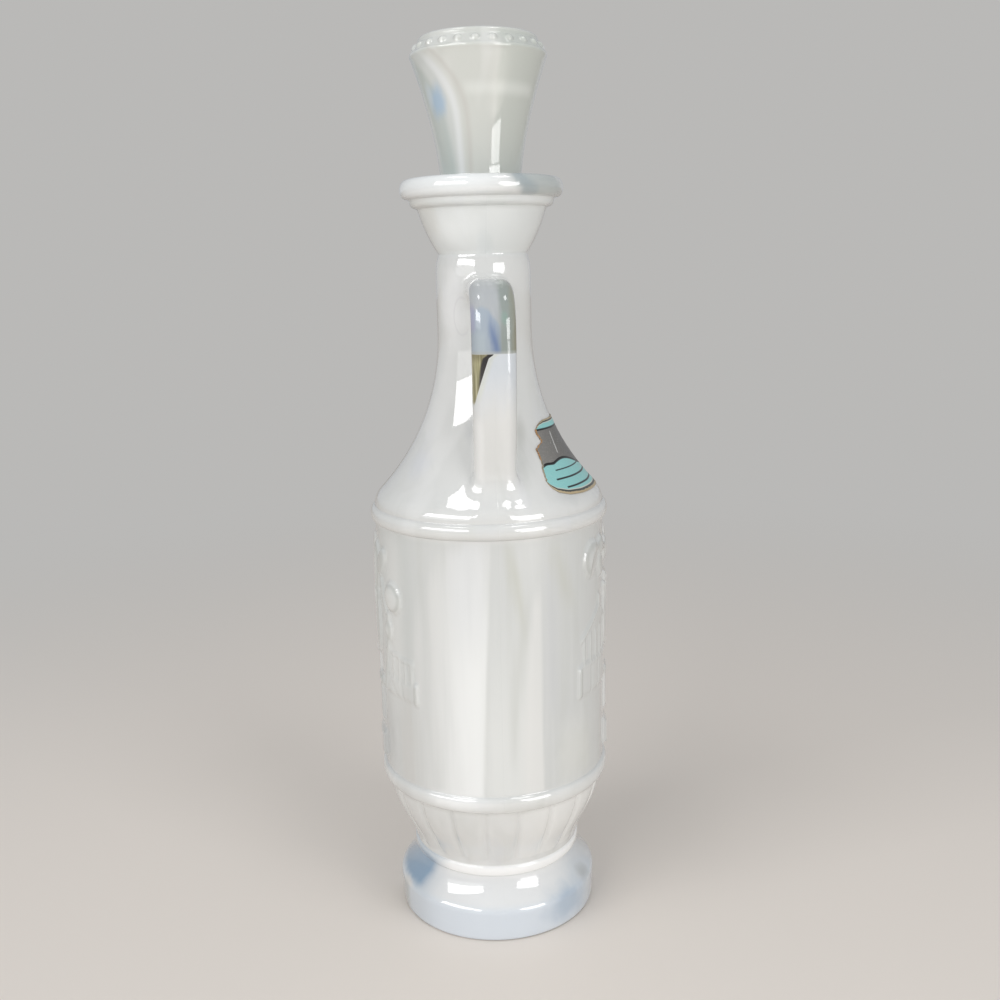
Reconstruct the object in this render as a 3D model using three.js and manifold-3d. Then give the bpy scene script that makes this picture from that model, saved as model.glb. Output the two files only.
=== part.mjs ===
// A pressed slag-glass decanter: a one-piece glass bottle with a strap handle, a flared glass
// stopper on a cork sleeve, and a foil label stuck round the shoulder.
// Millimetres, +Z up. The origin is on the bottle's axis, level with the table it stands on.
// The handle reaches towards -Y, and the label faces +X.

import * as THREE from 'three';
import { mergeVertices } from 'three/addons/utils/BufferGeometryUtils.js';
import Module from 'manifold-3d';

const wasm = await Module();
wasm.setup();

// Driving dimensions of the bottle, from the table up
const FOOT_RADIUS = 39.8;
const FOOT_WALL_HEIGHT = 13.4;
const FOOT_SLOPE_HEIGHT = 9.9;
const BEARING_RING_WIDTH = 8.5;
const PUSH_UP_HEIGHT = 3.5;
const BASE_THICKNESS = 5;
const WAIST_RADIUS = 32.8;
const WAIST_RING_HEIGHT = 6.3;
const WAIST_RING_PROUD = 0.6;
const BOWL_HEIGHT = 26.2;
const FLUTE_COUNT = 20;
const FLUTE_DEPTH = 0.9;
const LOWER_BEAD_HEIGHT = 6.4;
const LOWER_BEAD_PROUD = 1.45;
const BARREL_RADIUS = 44;
const BARREL_HEIGHT = 98.3;
const RELIEF_PROUD = 1.3;
const SHOULDER_BEAD_HEIGHT = 6;
const SHOULDER_BEAD_PROUD = 1.95;
const SHOULDER_EDGE_HEIGHT = 5;
const SHOULDER_EDGE_INSET = 2.9;
const SHOULDER_HEIGHT = 60.5;
const NECK_RADIUS = 17.7;
const NECK_HEIGHT = 19.5;
const NECK_ROUND_HEIGHT = 7.7;
const NOTCH_DEPTH = 1.2;
const BELL_FLARE = 6.2;
const BELL_HEIGHT = 16.6;
const STEP_HEIGHT = 3.5;
const STEP_FLARE = 3;
const LIP_HEIGHT = 7;
const LIP_OVERHANG = 6.35;

// Walls of the hollow
const BODY_WALL = 5;
const NECK_WALL = 5.7;
const MOUTH_WALL = 4.6;
const SEAT_LEDGE = 2.2;
const SEAT_RISE = 3;

// Handle
const HANDLE_WIDTH = 15.5;
const HANDLE_THICKNESS = 8.5;
const HANDLE_PROUD = 1.6;
const HANDLE_EDGE_ROUND = 3.2;
const HANDLE_TOP_DROP = 0.5;

// Stopper and its cork sleeve
const PLUG_CLEARANCE = 0.6;
const PLUG_HEIGHT = 5.5;
const FLARE_BASE_RADIUS = 15.3;
const FLARE_RADIUS = 24.9;
const FLARE_HEIGHT = 41;
const CROWN_HEIGHT = 6.9;
const CROWN_INSET = 4.1;
const CROWN_DOME = 0.6;
const PEARL_COUNT = 24;
const PEARL_RADIUS = 1.4;
const STEM_RADIUS = 7;
const STEM_OVERHANG = 2.5;
const CORK_LENGTH = 24;
const CORK_TAPER = 0.5;
const CORK_CLEARANCE = 0.3;
const SEATING_GAP = 0.3;

// Label
const LABEL_HALF_ANGLE = 57;
const LABEL_THICKNESS = 0.3;
const LABEL_GAP = 0.5;
const LABEL_BOTTOM_SHARE = 0.01;
const LABEL_TOP_SHARE = 0.48;

// Fineness of the turned shapes: two segments to each flute
const BOTTLE_SEGMENTS = 2 * FLUTE_COUNT;
const STOPPER_SEGMENTS = 36;
const SEGMENT_ANGLE = (2 * Math.PI) / BOTTLE_SEGMENTS;

// Levels worked out from the heights above
const FOOT_TOP = FOOT_WALL_HEIGHT;
const WAIST_BASE = FOOT_TOP + FOOT_SLOPE_HEIGHT;
const BOWL_BASE = WAIST_BASE + WAIST_RING_HEIGHT;
const LOWER_BEAD_BASE = BOWL_BASE + BOWL_HEIGHT;
const BARREL_BASE = LOWER_BEAD_BASE + LOWER_BEAD_HEIGHT;
const SHOULDER_BEAD_BASE = BARREL_BASE + BARREL_HEIGHT;
const SHOULDER_EDGE_BASE = SHOULDER_BEAD_BASE + SHOULDER_BEAD_HEIGHT;
const SHOULDER_BASE = SHOULDER_EDGE_BASE + SHOULDER_EDGE_HEIGHT;
const NECK_BASE = SHOULDER_BASE + SHOULDER_HEIGHT;
const NECK_TOP = NECK_BASE + NECK_HEIGHT;
const NOTCH_LEVEL = NECK_TOP + NECK_ROUND_HEIGHT;
const STEP_BASE = NOTCH_LEVEL + BELL_HEIGHT;
const LIP_BASE = STEP_BASE + STEP_HEIGHT;
const LIP_TOP = LIP_BASE + LIP_HEIGHT;
const SEAT_LEVEL = NOTCH_LEVEL + SEAT_RISE;

// Radii worked out from the sizes above
const SHOULDER_RADIUS = BARREL_RADIUS - SHOULDER_EDGE_INSET;
const NOTCH_RADIUS = NECK_RADIUS - NOTCH_DEPTH;
const BELL_RADIUS = NECK_RADIUS + BELL_FLARE;
const STEP_RADIUS = BELL_RADIUS + STEP_FLARE;
const LIP_RADIUS = BELL_RADIUS + LIP_OVERHANG;
const BORE_RADIUS = NECK_RADIUS - NECK_WALL;
const SEAT_RADIUS = BORE_RADIUS + SEAT_LEDGE;
const PLUG_RADIUS = SEAT_RADIUS - PLUG_CLEARANCE;
const PLUG_BOTTOM = SEAT_LEVEL + SEATING_GAP;
const HANDLE_REACH = BARREL_RADIUS + HANDLE_PROUD;

const at = (radius, level) => new THREE.Vector2(radius, level);

// Points along a quadratic curve, with the first one left out so that stretches join up
function bend(start, control, end, steps) {
  return new THREE.QuadraticBezierCurve(start, control, end).getPoints(steps).slice(1);
}

// Points over a half-round bead that stands proud of a wall, from its lower root to its upper one
function bead(radiusBelow, radiusAbove, base, height, proud, steps) {
  const points = [];
  for (let i = 0; i <= steps; i++) {
    const turn = (Math.PI * i) / steps;
    const wall = THREE.MathUtils.lerp(radiusBelow, radiusAbove, i / steps);
    points.push(at(wall + proud * Math.sin(turn), base + (height * (1 - Math.cos(turn))) / 2));
  }
  return points;
}

// The long S from the shoulder to the neck, which the inner wall follows with smaller radii
function shoulderCurve(foot, neck) {
  const drop = foot.x - neck.x;
  const height = neck.y - foot.y;
  const lower = at(foot.x - 0.65 * drop, foot.y + 0.275 * height);
  const upper = at(neck.x, neck.y - 0.37 * height);
  return new THREE.CubicBezierCurve(foot, lower, upper, neck);
}

const outerShoulder = shoulderCurve(at(SHOULDER_RADIUS, SHOULDER_BASE), at(NECK_RADIUS, NECK_BASE));

// Outside of the turned bottle, from the middle of its base to the middle of its mouth
function outerProfile() {
  const bowlTop = BARREL_RADIUS - 0.6;
  const bowlFoot = WAIST_RADIUS + 0.3;
  const bowl = new THREE.CubicBezierCurve(
    at(bowlFoot, BOWL_BASE),
    at(bowlFoot + 0.6, BOWL_BASE + 0.27 * BOWL_HEIGHT),
    at(bowlTop - 2, BOWL_BASE + 0.5 * BOWL_HEIGHT),
    at(bowlTop, LOWER_BEAD_BASE),
  );
  const shoulderEdge = at(BARREL_RADIUS - 0.4, SHOULDER_EDGE_BASE + 0.7);
  const notch = at(NOTCH_RADIUS, NOTCH_LEVEL);
  const bellTop = at(BELL_RADIUS, STEP_BASE);
  return [
    at(0, PUSH_UP_HEIGHT),
    at(FOOT_RADIUS - BEARING_RING_WIDTH - 3, 0.6 * PUSH_UP_HEIGHT),
    at(FOOT_RADIUS - BEARING_RING_WIDTH - 1, 0),
    at(FOOT_RADIUS - 1, 0),
    ...bend(at(FOOT_RADIUS - 1, 0), at(FOOT_RADIUS - 0.3, 0.1), at(FOOT_RADIUS - 0.2, 2), 2),
    at(FOOT_RADIUS, FOOT_TOP - 1.8),
    ...bend(at(FOOT_RADIUS, FOOT_TOP - 1.8), at(FOOT_RADIUS, FOOT_TOP - 0.3),
      at(FOOT_RADIUS - 1.2, FOOT_TOP + 0.3), 2),
    ...bend(at(FOOT_RADIUS - 1.2, FOOT_TOP + 0.3), at(WAIST_RADIUS + 1.8, WAIST_BASE - 5),
      at(WAIST_RADIUS, WAIST_BASE), 4),
    ...bead(WAIST_RADIUS - 0.3, WAIST_RADIUS, WAIST_BASE + 0.2, WAIST_RING_HEIGHT - 0.4,
      WAIST_RING_PROUD, 4),
    ...bowl.getPoints(5),
    ...bead(BARREL_RADIUS - 0.3, BARREL_RADIUS, LOWER_BEAD_BASE + 0.2, LOWER_BEAD_HEIGHT - 0.2,
      LOWER_BEAD_PROUD, 4),
    ...bead(BARREL_RADIUS, BARREL_RADIUS, SHOULDER_BEAD_BASE, SHOULDER_BEAD_HEIGHT,
      SHOULDER_BEAD_PROUD, 4),
    shoulderEdge,
    ...bend(shoulderEdge, at(BARREL_RADIUS - 0.7, SHOULDER_EDGE_BASE + 2.6), outerShoulder.v0, 2),
    ...outerShoulder.getPoints(10).slice(1),
    at(NECK_RADIUS, NECK_TOP),
    ...bend(at(NECK_RADIUS, NECK_TOP), at(NECK_RADIUS, NOTCH_LEVEL - 2.7), notch, 3),
    ...bend(notch, at(NOTCH_RADIUS + 4.7, NOTCH_LEVEL + 6.6), bellTop, 5),
    ...bend(at(BELL_RADIUS + 1.5, STEP_BASE + 0.5), at(STEP_RADIUS, STEP_BASE + 1),
      at(STEP_RADIUS, LIP_BASE - 0.6), 2),
    ...bead(STEP_RADIUS + 0.8, STEP_RADIUS + 0.6, LIP_BASE, LIP_HEIGHT - 0.8,
      LIP_RADIUS - STEP_RADIUS - 0.7, 6),
    at(STEP_RADIUS - 0.6, LIP_TOP),
    at(0, LIP_TOP),
  ];
}

// Space for the liquid, from the middle of its floor up through the neck and out of the mouth
function hollowProfile() {
  const floor = PUSH_UP_HEIGHT + BASE_THICKNESS;
  const waist = WAIST_RADIUS - BODY_WALL;
  const barrel = BARREL_RADIUS - BODY_WALL;
  const foot = at(SHOULDER_RADIUS - BODY_WALL, SHOULDER_BASE - 0.4 * BODY_WALL);
  const shoulder = shoulderCurve(foot, at(BORE_RADIUS, NECK_BASE - 1));
  const mouth = BELL_RADIUS - MOUTH_WALL;
  const lip = LIP_RADIUS - MOUTH_WALL;
  const above = LIP_TOP + 5;
  return [
    at(0, floor),
    at(waist - 2, floor),
    ...bend(at(waist - 2, floor), at(waist, floor), at(waist, floor + 4), 2),
    at(waist, BOWL_BASE),
    ...bend(at(waist, BOWL_BASE), at(barrel - 4, BOWL_BASE + 0.5 * BOWL_HEIGHT),
      at(barrel, BARREL_BASE), 3),
    at(barrel, SHOULDER_BEAD_BASE),
    ...bend(at(barrel, SHOULDER_BEAD_BASE), at(barrel, SHOULDER_EDGE_BASE), foot, 2),
    ...shoulder.getPoints(6).slice(1),
    at(BORE_RADIUS, SEAT_LEVEL),
    at(SEAT_RADIUS, SEAT_LEVEL),
    ...bend(at(SEAT_RADIUS, SEAT_LEVEL), at(mouth - 1.6, SEAT_LEVEL + 7), at(mouth, STEP_BASE), 2),
    ...bend(at(mouth, STEP_BASE), at(lip, LIP_TOP - 3.5), at(lip + 0.6, LIP_TOP), 2),
    at(lip + 0.6, above),
    at(0, above),
  ];
}

// Turns a profile of radius and height round the Z axis. The first segment starts at -Y.
function turned(profile, segments) {
  const geometry = new THREE.LatheGeometry(profile, segments);
  geometry.rotateX(Math.PI / 2);
  return geometry;
}

function solidFrom(geometry) {
  const bare = geometry.index ? geometry.toNonIndexed() : geometry.clone();
  bare.deleteAttribute('normal');
  bare.deleteAttribute('uv');
  const merged = mergeVertices(bare, 1e-4);
  return new wasm.Manifold(new wasm.Mesh({
    numProp: 3,
    vertProperties: new Float32Array(merged.attributes.position.array),
    triVerts: new Uint32Array(merged.index.array),
  }));
}

function geometryFrom(solid) {
  const mesh = solid.getMesh();
  const geometry = new THREE.BufferGeometry();
  geometry.setAttribute('position', new THREE.BufferAttribute(mesh.vertProperties, 3));
  geometry.setIndex(new THREE.BufferAttribute(mesh.triVerts, 1));
  const faceted = geometry.toNonIndexed();
  faceted.computeVertexNormals();
  return faceted;
}

// Presses a groove between each flute and the next: the bowl's wall is drawn in at every second
// segment, most at mid height and not at all at its two ends
function pressFlutes(geometry) {
  const position = geometry.attributes.position;
  for (let i = 0; i < position.count; i++) {
    const x = position.getX(i);
    const y = position.getY(i);
    const rise = (position.getZ(i) - BOWL_BASE) / BOWL_HEIGHT;
    if (rise < 0 || rise > 1) continue;
    const radius = Math.hypot(x, y);
    const azimuth = Math.atan2(x, -y);
    const groove = Math.max(0, Math.cos(FLUTE_COUNT * (azimuth + SEGMENT_ANGLE)));
    const drawn = 1 - (FLUTE_DEPTH * groove * Math.sqrt(Math.sin(Math.PI * rise))) / radius;
    position.setXY(i, x * drawn, y * drawn);
  }
}

// The strap's line, as shares of its reach from the neck and of its drop to the shoulder
const HANDLE_LINE = [[0, 0], [0.35, 0], [0.77, 0.025], [0.965, 0.12], [0.995, 0.26], [0.975, 0.4],
  [0.9, 0.57], [0.78, 0.745], [0.66, 0.9], [0.6, 1]];

function handle() {
  const root = NECK_RADIUS - 0.55 * NECK_WALL;
  const reach = HANDLE_REACH - HANDLE_THICKNESS / 2;
  const top = NECK_TOP - HANDLE_TOP_DROP - HANDLE_THICKNESS / 2;
  const foot = SHOULDER_BASE - 1.5;
  const line = HANDLE_LINE.map(([out, down]) => new THREE.Vector3(
    0,
    -THREE.MathUtils.lerp(root, reach, out),
    THREE.MathUtils.lerp(top, foot, down),
  ));
  const halfWidth = HANDLE_WIDTH / 2 - HANDLE_EDGE_ROUND;
  const halfThickness = HANDLE_THICKNESS / 2 - HANDLE_EDGE_ROUND;
  const section = new THREE.Shape();
  section.absarc(halfWidth, halfThickness, HANDLE_EDGE_ROUND, 0, Math.PI / 2);
  section.absarc(-halfWidth, halfThickness, HANDLE_EDGE_ROUND, Math.PI / 2, Math.PI);
  section.absarc(-halfWidth, -halfThickness, HANDLE_EDGE_ROUND, Math.PI, 1.5 * Math.PI);
  section.absarc(halfWidth, -halfThickness, HANDLE_EDGE_ROUND, 1.5 * Math.PI, 2 * Math.PI);
  return new THREE.ExtrudeGeometry(section, {
    steps: 20,
    curveSegments: 3,
    extrudePath: new THREE.CatmullRomCurve3(line),
  });
}

// Stands a flat outline up on the barrel at an azimuth from the handle, facing outwards
function raised(shape, azimuthDegrees) {
  const azimuth = THREE.MathUtils.degToRad(azimuthDegrees);
  const outward = new THREE.Vector3(Math.sin(azimuth), -Math.cos(azimuth), 0);
  const along = new THREE.Vector3(Math.cos(azimuth), Math.sin(azimuth), 0);
  const up = new THREE.Vector3(0, 0, 1);
  const geometry = new THREE.ExtrudeGeometry(shape, { depth: 8, bevelEnabled: false,
    curveSegments: 5 });
  geometry.translate(0, 0, BARREL_RADIUS - 3);
  geometry.applyMatrix4(new THREE.Matrix4().makeBasis(along, up, outward));
  return solidFrom(geometry);
}

function box(left, bottom, width, height) {
  const points = [at(left, bottom), at(left + width, bottom), at(left + width, bottom + height),
    at(left, bottom + height)];
  return new THREE.Shape(points);
}

function oval(centre, halfWidth, halfHeight, tilt = 0) {
  const shape = new THREE.Shape();
  shape.absellipse(centre.x, centre.y, halfWidth, halfHeight, 0, 2 * Math.PI, false, tilt);
  return shape;
}

// The outlines of a small colonnade: a plinth, five columns, and a gabled roof over them
function pavilion(base) {
  const halfWidth = 9.5;
  const plinthHeight = 9;
  const columnHeight = 11;
  const columnPitch = 4.2;
  const columnWidth = 2;
  const eaves = base + plinthHeight + columnHeight;
  const roof = new THREE.Shape([at(-halfWidth, eaves), at(halfWidth, eaves),
    at(halfWidth, eaves + 3), at(0, eaves + 12), at(-halfWidth, eaves + 3)]);
  const outlines = [box(-halfWidth, base, 2 * halfWidth, plinthHeight), roof];
  for (let i = 0; i < 5; i++) {
    const left = (i - 2) * columnPitch - columnWidth / 2;
    outlines.push(box(left, base + plinthHeight - 1, columnWidth, columnHeight + 2));
  }
  return outlines;
}

// An urn on a pedestal with a bunch of leaves over it, both halves from one list of half widths
function urn(base) {
  const half = [[9, 0], [9, 5], [3, 7], [3, 14], [10, 26], [11, 36], [6, 44], [8, 48], [12, 62],
    [8, 74], [2, 81]];
  const right = half.map(([width, level]) => at(width, base + level));
  const left = half.map(([width, level]) => at(-width, base + level)).reverse();
  return new THREE.Shape([...right, ...left]);
}

// The relief on one side of the barrel, round the azimuth its panel faces
function reliefPanel(facing) {
  const floor = BARREL_BASE + 0.12 * BARREL_HEIGHT;
  const motifs = [raised(urn(floor), facing)];
  for (const side of [-1, 1]) {
    const crown = BARREL_BASE + 0.74 * BARREL_HEIGHT;
    for (const outline of pavilion(floor + 20)) motifs.push(raised(outline, facing + side * 34));
    motifs.push(raised(oval(at(0, crown), 6.6, 6.2), facing + side * 27));
    motifs.push(raised(oval(at(0, crown - 13), 4, 5), facing + side * 23.5));
    motifs.push(raised(box(-0.9, floor + 22, 1.8, 30), facing + side * 21));
    motifs.push(raised(oval(at(0, crown + 12), 4.2, 7.5, -side * 0.5), facing + side * 36));
  }
  return motifs;
}

function bottleGeometry() {
  const outside = turned(outerProfile(), BOTTLE_SEGMENTS);
  pressFlutes(outside);
  const reliefSkin = turned([
    at(0, BARREL_BASE),
    at(BARREL_RADIUS + RELIEF_PROUD, BARREL_BASE),
    at(BARREL_RADIUS + RELIEF_PROUD, SHOULDER_BEAD_BASE),
    at(0, SHOULDER_BEAD_BASE),
  ], BOTTLE_SEGMENTS);
  let relief = null;
  for (const motif of [...reliefPanel(90), ...reliefPanel(-90)]) {
    relief = relief ? relief.add(motif) : motif;
  }
  const solid = solidFrom(outside)
    .add(relief.intersect(solidFrom(reliefSkin)))
    .add(solidFrom(handle()))
    .subtract(solidFrom(turned(hollowProfile(), BOTTLE_SEGMENTS)));
  return geometryFrom(solid);
}

// Glass of the stopper: the stem that the cork is glued on, the plug, the flare and the crown
function stopperGeometry() {
  const flareBase = LIP_TOP + 1.5;
  const rimLevel = flareBase + FLARE_HEIGHT - 1;
  const crownTop = rimLevel + CROWN_HEIGHT;
  const stemBottom = PLUG_BOTTOM - SEATING_GAP - CORK_LENGTH - STEM_OVERHANG;
  const crownRadius = FLARE_RADIUS - CROWN_INSET;
  const profile = [
    at(0, stemBottom),
    at(STEM_RADIUS - 1, stemBottom),
    at(STEM_RADIUS, stemBottom + 1),
    at(STEM_RADIUS, PLUG_BOTTOM),
    at(PLUG_RADIUS, PLUG_BOTTOM),
    at(PLUG_RADIUS, PLUG_BOTTOM + PLUG_HEIGHT),
    ...bend(at(PLUG_RADIUS, PLUG_BOTTOM + PLUG_HEIGHT), at(FLARE_BASE_RADIUS - 0.2, LIP_TOP - 8),
      at(FLARE_BASE_RADIUS, flareBase), 3),
    ...bend(at(FLARE_BASE_RADIUS, flareBase),
      at(FLARE_BASE_RADIUS + 1, flareBase + 0.45 * FLARE_HEIGHT),
      at(FLARE_RADIUS - 0.7, rimLevel - 1), 6),
    ...bend(at(FLARE_RADIUS - 0.7, rimLevel - 1), at(FLARE_RADIUS + 0.2, rimLevel),
      at(FLARE_RADIUS - 0.6, rimLevel + 1.2), 3),
    at(crownRadius + 1, rimLevel + 4.2),
    ...bend(at(crownRadius + 1, rimLevel + 4.2), at(crownRadius + 0.7, crownTop - 0.4),
      at(crownRadius - 1.6, crownTop), 3),
    at(0, crownTop + CROWN_DOME),
  ];
  let solid = solidFrom(turned(profile, STOPPER_SEGMENTS));
  for (let i = 0; i < PEARL_COUNT; i++) {
    const pearl = new THREE.SphereGeometry(PEARL_RADIUS, 6, 4);
    const azimuth = (2 * Math.PI * (i + 0.5)) / PEARL_COUNT;
    const ring = FLARE_RADIUS - 2.7;
    pearl.translate(ring * Math.sin(azimuth), -ring * Math.cos(azimuth), rimLevel + 2.6);
    solid = solid.add(solidFrom(pearl));
  }
  return geometryFrom(solid);
}

// Cork sleeve, a ring whose section closes on itself, slightly tapered towards its lower end
function corkGeometry() {
  const top = PLUG_BOTTOM - SEATING_GAP;
  const bottom = top - CORK_LENGTH;
  const outer = BORE_RADIUS - CORK_CLEARANCE;
  const inner = STEM_RADIUS + SEATING_GAP;
  return geometryFrom(solidFrom(turned([
    at(inner, bottom),
    at(outer - CORK_TAPER - 0.8, bottom),
    at(outer - CORK_TAPER, bottom + 0.8),
    at(outer, top - 0.8),
    at(outer - 0.8, top),
    at(inner, top),
    at(inner, bottom),
  ], STOPPER_SEGMENTS)));
}

// Foil label: a thin sheet lying just off the shoulder's curve, its corners rounded off
function labelGeometry() {
  const rows = 8;
  const columns = 16;
  const positions = [];
  for (const lift of [LABEL_GAP, LABEL_GAP + LABEL_THICKNESS]) {
    for (let row = 0; row <= rows; row++) {
      const share = THREE.MathUtils.lerp(LABEL_BOTTOM_SHARE, LABEL_TOP_SHARE, row / rows);
      const foot = outerShoulder.getPoint(share);
      const tangent = outerShoulder.getTangent(share);
      const radius = foot.x + lift * tangent.y;
      const level = foot.y - lift * tangent.x;
      const corner = 1 - 0.3 * Math.abs((2 * row) / rows - 1) ** 4;
      for (let column = 0; column <= columns; column++) {
        const across = (2 * column) / columns - 1;
        const azimuth = THREE.MathUtils.degToRad(90 + LABEL_HALF_ANGLE * corner * across);
        positions.push(radius * Math.sin(azimuth), -radius * Math.cos(azimuth), level);
      }
    }
  }
  const index = [];
  const sheet = (rows + 1) * (columns + 1);
  const vertex = (side, row, column) => side * sheet + row * (columns + 1) + column;
  const quad = (a, b, c, d) => index.push(a, b, c, a, c, d);
  for (let row = 0; row < rows; row++) {
    for (let column = 0; column < columns; column++) {
      quad(vertex(1, row, column), vertex(1, row, column + 1), vertex(1, row + 1, column + 1),
        vertex(1, row + 1, column));
      quad(vertex(0, row, column), vertex(0, row + 1, column), vertex(0, row + 1, column + 1),
        vertex(0, row, column + 1));
    }
    quad(vertex(0, row, 0), vertex(1, row, 0), vertex(1, row + 1, 0), vertex(0, row + 1, 0));
    quad(vertex(1, row, columns), vertex(0, row, columns), vertex(0, row + 1, columns),
      vertex(1, row + 1, columns));
  }
  for (let column = 0; column < columns; column++) {
    quad(vertex(0, 0, column), vertex(0, 0, column + 1), vertex(1, 0, column + 1),
      vertex(1, 0, column));
    quad(vertex(1, rows, column), vertex(1, rows, column + 1), vertex(0, rows, column + 1),
      vertex(0, rows, column));
  }
  const geometry = new THREE.BufferGeometry();
  geometry.setAttribute('position', new THREE.Float32BufferAttribute(positions, 3));
  geometry.setIndex(index);
  return geometryFrom(solidFrom(geometry));
}

function piece(name, geometry, color, roughness, metalness = 0) {
  const mesh = new THREE.Mesh(geometry, new THREE.MeshStandardMaterial({ color, roughness,
    metalness }));
  mesh.name = name;
  return mesh;
}

const decanter = new THREE.Group();
decanter.add(piece('glass_bottle', bottleGeometry(), 0xe1e4e4, 0.08));
decanter.add(piece('foil_label', labelGeometry(), 0x8fc4bd, 0.35, 0.3));

const stopper = new THREE.Group();
stopper.add(piece('glass_stopper', stopperGeometry(), 0xdde0dc, 0.08));
stopper.add(piece('cork_sleeve', corkGeometry(), 0xb98d5e, 0.85));
decanter.add(stopper);

export default decanter;
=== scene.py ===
# %% [markdown]
# A decanter of pressed slag glass: milky white glass with blue, grey and olive swirls, cast in a
# mould with its foot, flutes, relief and strap handle in one go. A flared glass stopper on a cork
# sleeve closes it, and a torn foil label is stuck round its shoulder.
# The imported CAD model is the frame. It gives every piece its size and place, and each piece here
# is a finer skin over the same solid. First the frame is loaded.

# %% Load the frame
import math
import bpy
import numpy as np
from mathutils import Matrix, Vector


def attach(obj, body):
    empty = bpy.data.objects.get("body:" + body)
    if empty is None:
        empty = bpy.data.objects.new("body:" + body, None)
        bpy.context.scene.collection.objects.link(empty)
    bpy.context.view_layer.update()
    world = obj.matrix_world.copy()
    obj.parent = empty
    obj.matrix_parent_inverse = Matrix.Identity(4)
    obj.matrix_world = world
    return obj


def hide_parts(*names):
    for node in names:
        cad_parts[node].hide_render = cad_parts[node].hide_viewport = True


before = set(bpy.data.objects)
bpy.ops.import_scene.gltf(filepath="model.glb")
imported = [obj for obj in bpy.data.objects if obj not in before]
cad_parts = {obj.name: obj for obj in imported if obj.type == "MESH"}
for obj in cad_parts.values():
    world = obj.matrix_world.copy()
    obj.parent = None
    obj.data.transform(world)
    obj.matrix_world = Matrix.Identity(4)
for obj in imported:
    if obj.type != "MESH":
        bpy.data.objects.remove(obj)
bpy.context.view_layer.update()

# %% [markdown]
# A turned shape is a profile carried round an axis. The profile is a list of radius and height in
# millimetres, and azimuth 0 is the side that the handle is on. These helpers work on whole arrays,
# so that one line of formula places every point of a surface at once.

# %% Curves and turned points
MM = 0.001


def turned(radius, azimuth, height):
    """x = r sin a, y = -r cos a, z = height, for arrays that broadcast against each other."""
    radius, azimuth, height = np.broadcast_arrays(radius, azimuth, height)
    return np.stack([radius * np.sin(azimuth), -radius * np.cos(azimuth), height], axis=-1)


def azimuth_at(points):
    """The azimuth of points, which is 0 on the handle's side."""
    return np.arctan2(points[..., 0], -points[..., 1])


def even_azimuths(count):
    """One row of azimuths at even steps right round."""
    return np.linspace(0, 2 * np.pi, count, endpoint=False)[None]


def nearest(azimuth, start, pitch):
    """The angle from the nearest of the places that lie a pitch apart, counted from start."""
    return (azimuth - start + pitch / 2) % pitch - pitch / 2


def ease(value, low, high):
    """0 up to low, 1 from high on, and 3 t^2 - 2 t^3 between them."""
    t = np.clip((value - low) / (high - low), 0, 1)
    return t * t * (3 - 2 * t)


def window(value, low, full, fade, end):
    """0 up to low, 1 from full to fade, and 0 again from end on."""
    return ease(value, low, full) * (1 - ease(value, fade, end))


def outline(grid):
    """The border of a grid, once round: first row, last column, last row and first column."""
    return np.concatenate([grid[0, :-1], grid[:-1, -1], grid[-1, :0:-1], grid[:0:-1, 0]])


def bezier(corners, count):
    """A Bezier curve: its corners are blended pairwise, again and again, until one is left."""
    t = np.linspace(0, 1, count)[:, None, None]
    points = np.array(corners, float)[None]
    while points.shape[1] > 1:
        points = (1 - t) * points[:, :-1] + t * points[:, 1:]
    return points[:, 0]


def half_round(start, end, proud, count):
    """A bead: the straight line from start to end, pushed out by proud times sin(turn)."""
    turn = np.linspace(0, np.pi, count)
    share = (1 - np.cos(turn))[:, None] / 2
    line = np.array(start) + share * (np.array(end, float) - np.array(start))
    line[:, 0] += proud * np.sin(turn)
    return line


def through(points, count):
    """A Catmull-Rom curve through all points but the first and last: each stretch is the cubic
    whose slopes at its ends are half the step between the neighbours on both sides."""
    p = np.array(points, float)
    t = np.linspace(0, len(p) - 3 - 1e-9, count)
    k = t.astype(int)
    s = (t - k)[:, None]
    a, b, c, d = p[k], p[k + 1], p[k + 2], p[k + 3]
    return b + s * (c - a) / 2 + s**2 * (a - 2.5 * b + 2 * c - d / 2) \
        + s**3 * (1.5 * (b - c) + (d - a) / 2)


# %% [markdown]
# One glass casting has one closed skin. It is made of grids of different fineness, because the
# barrel's relief needs narrow columns and the throat doesn't. This class collects the grids' points
# and the faces between them. Two rings with different numbers of points are closed like a zip: each
# edge of one ring takes the point of the other that its turn has reached.

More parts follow.
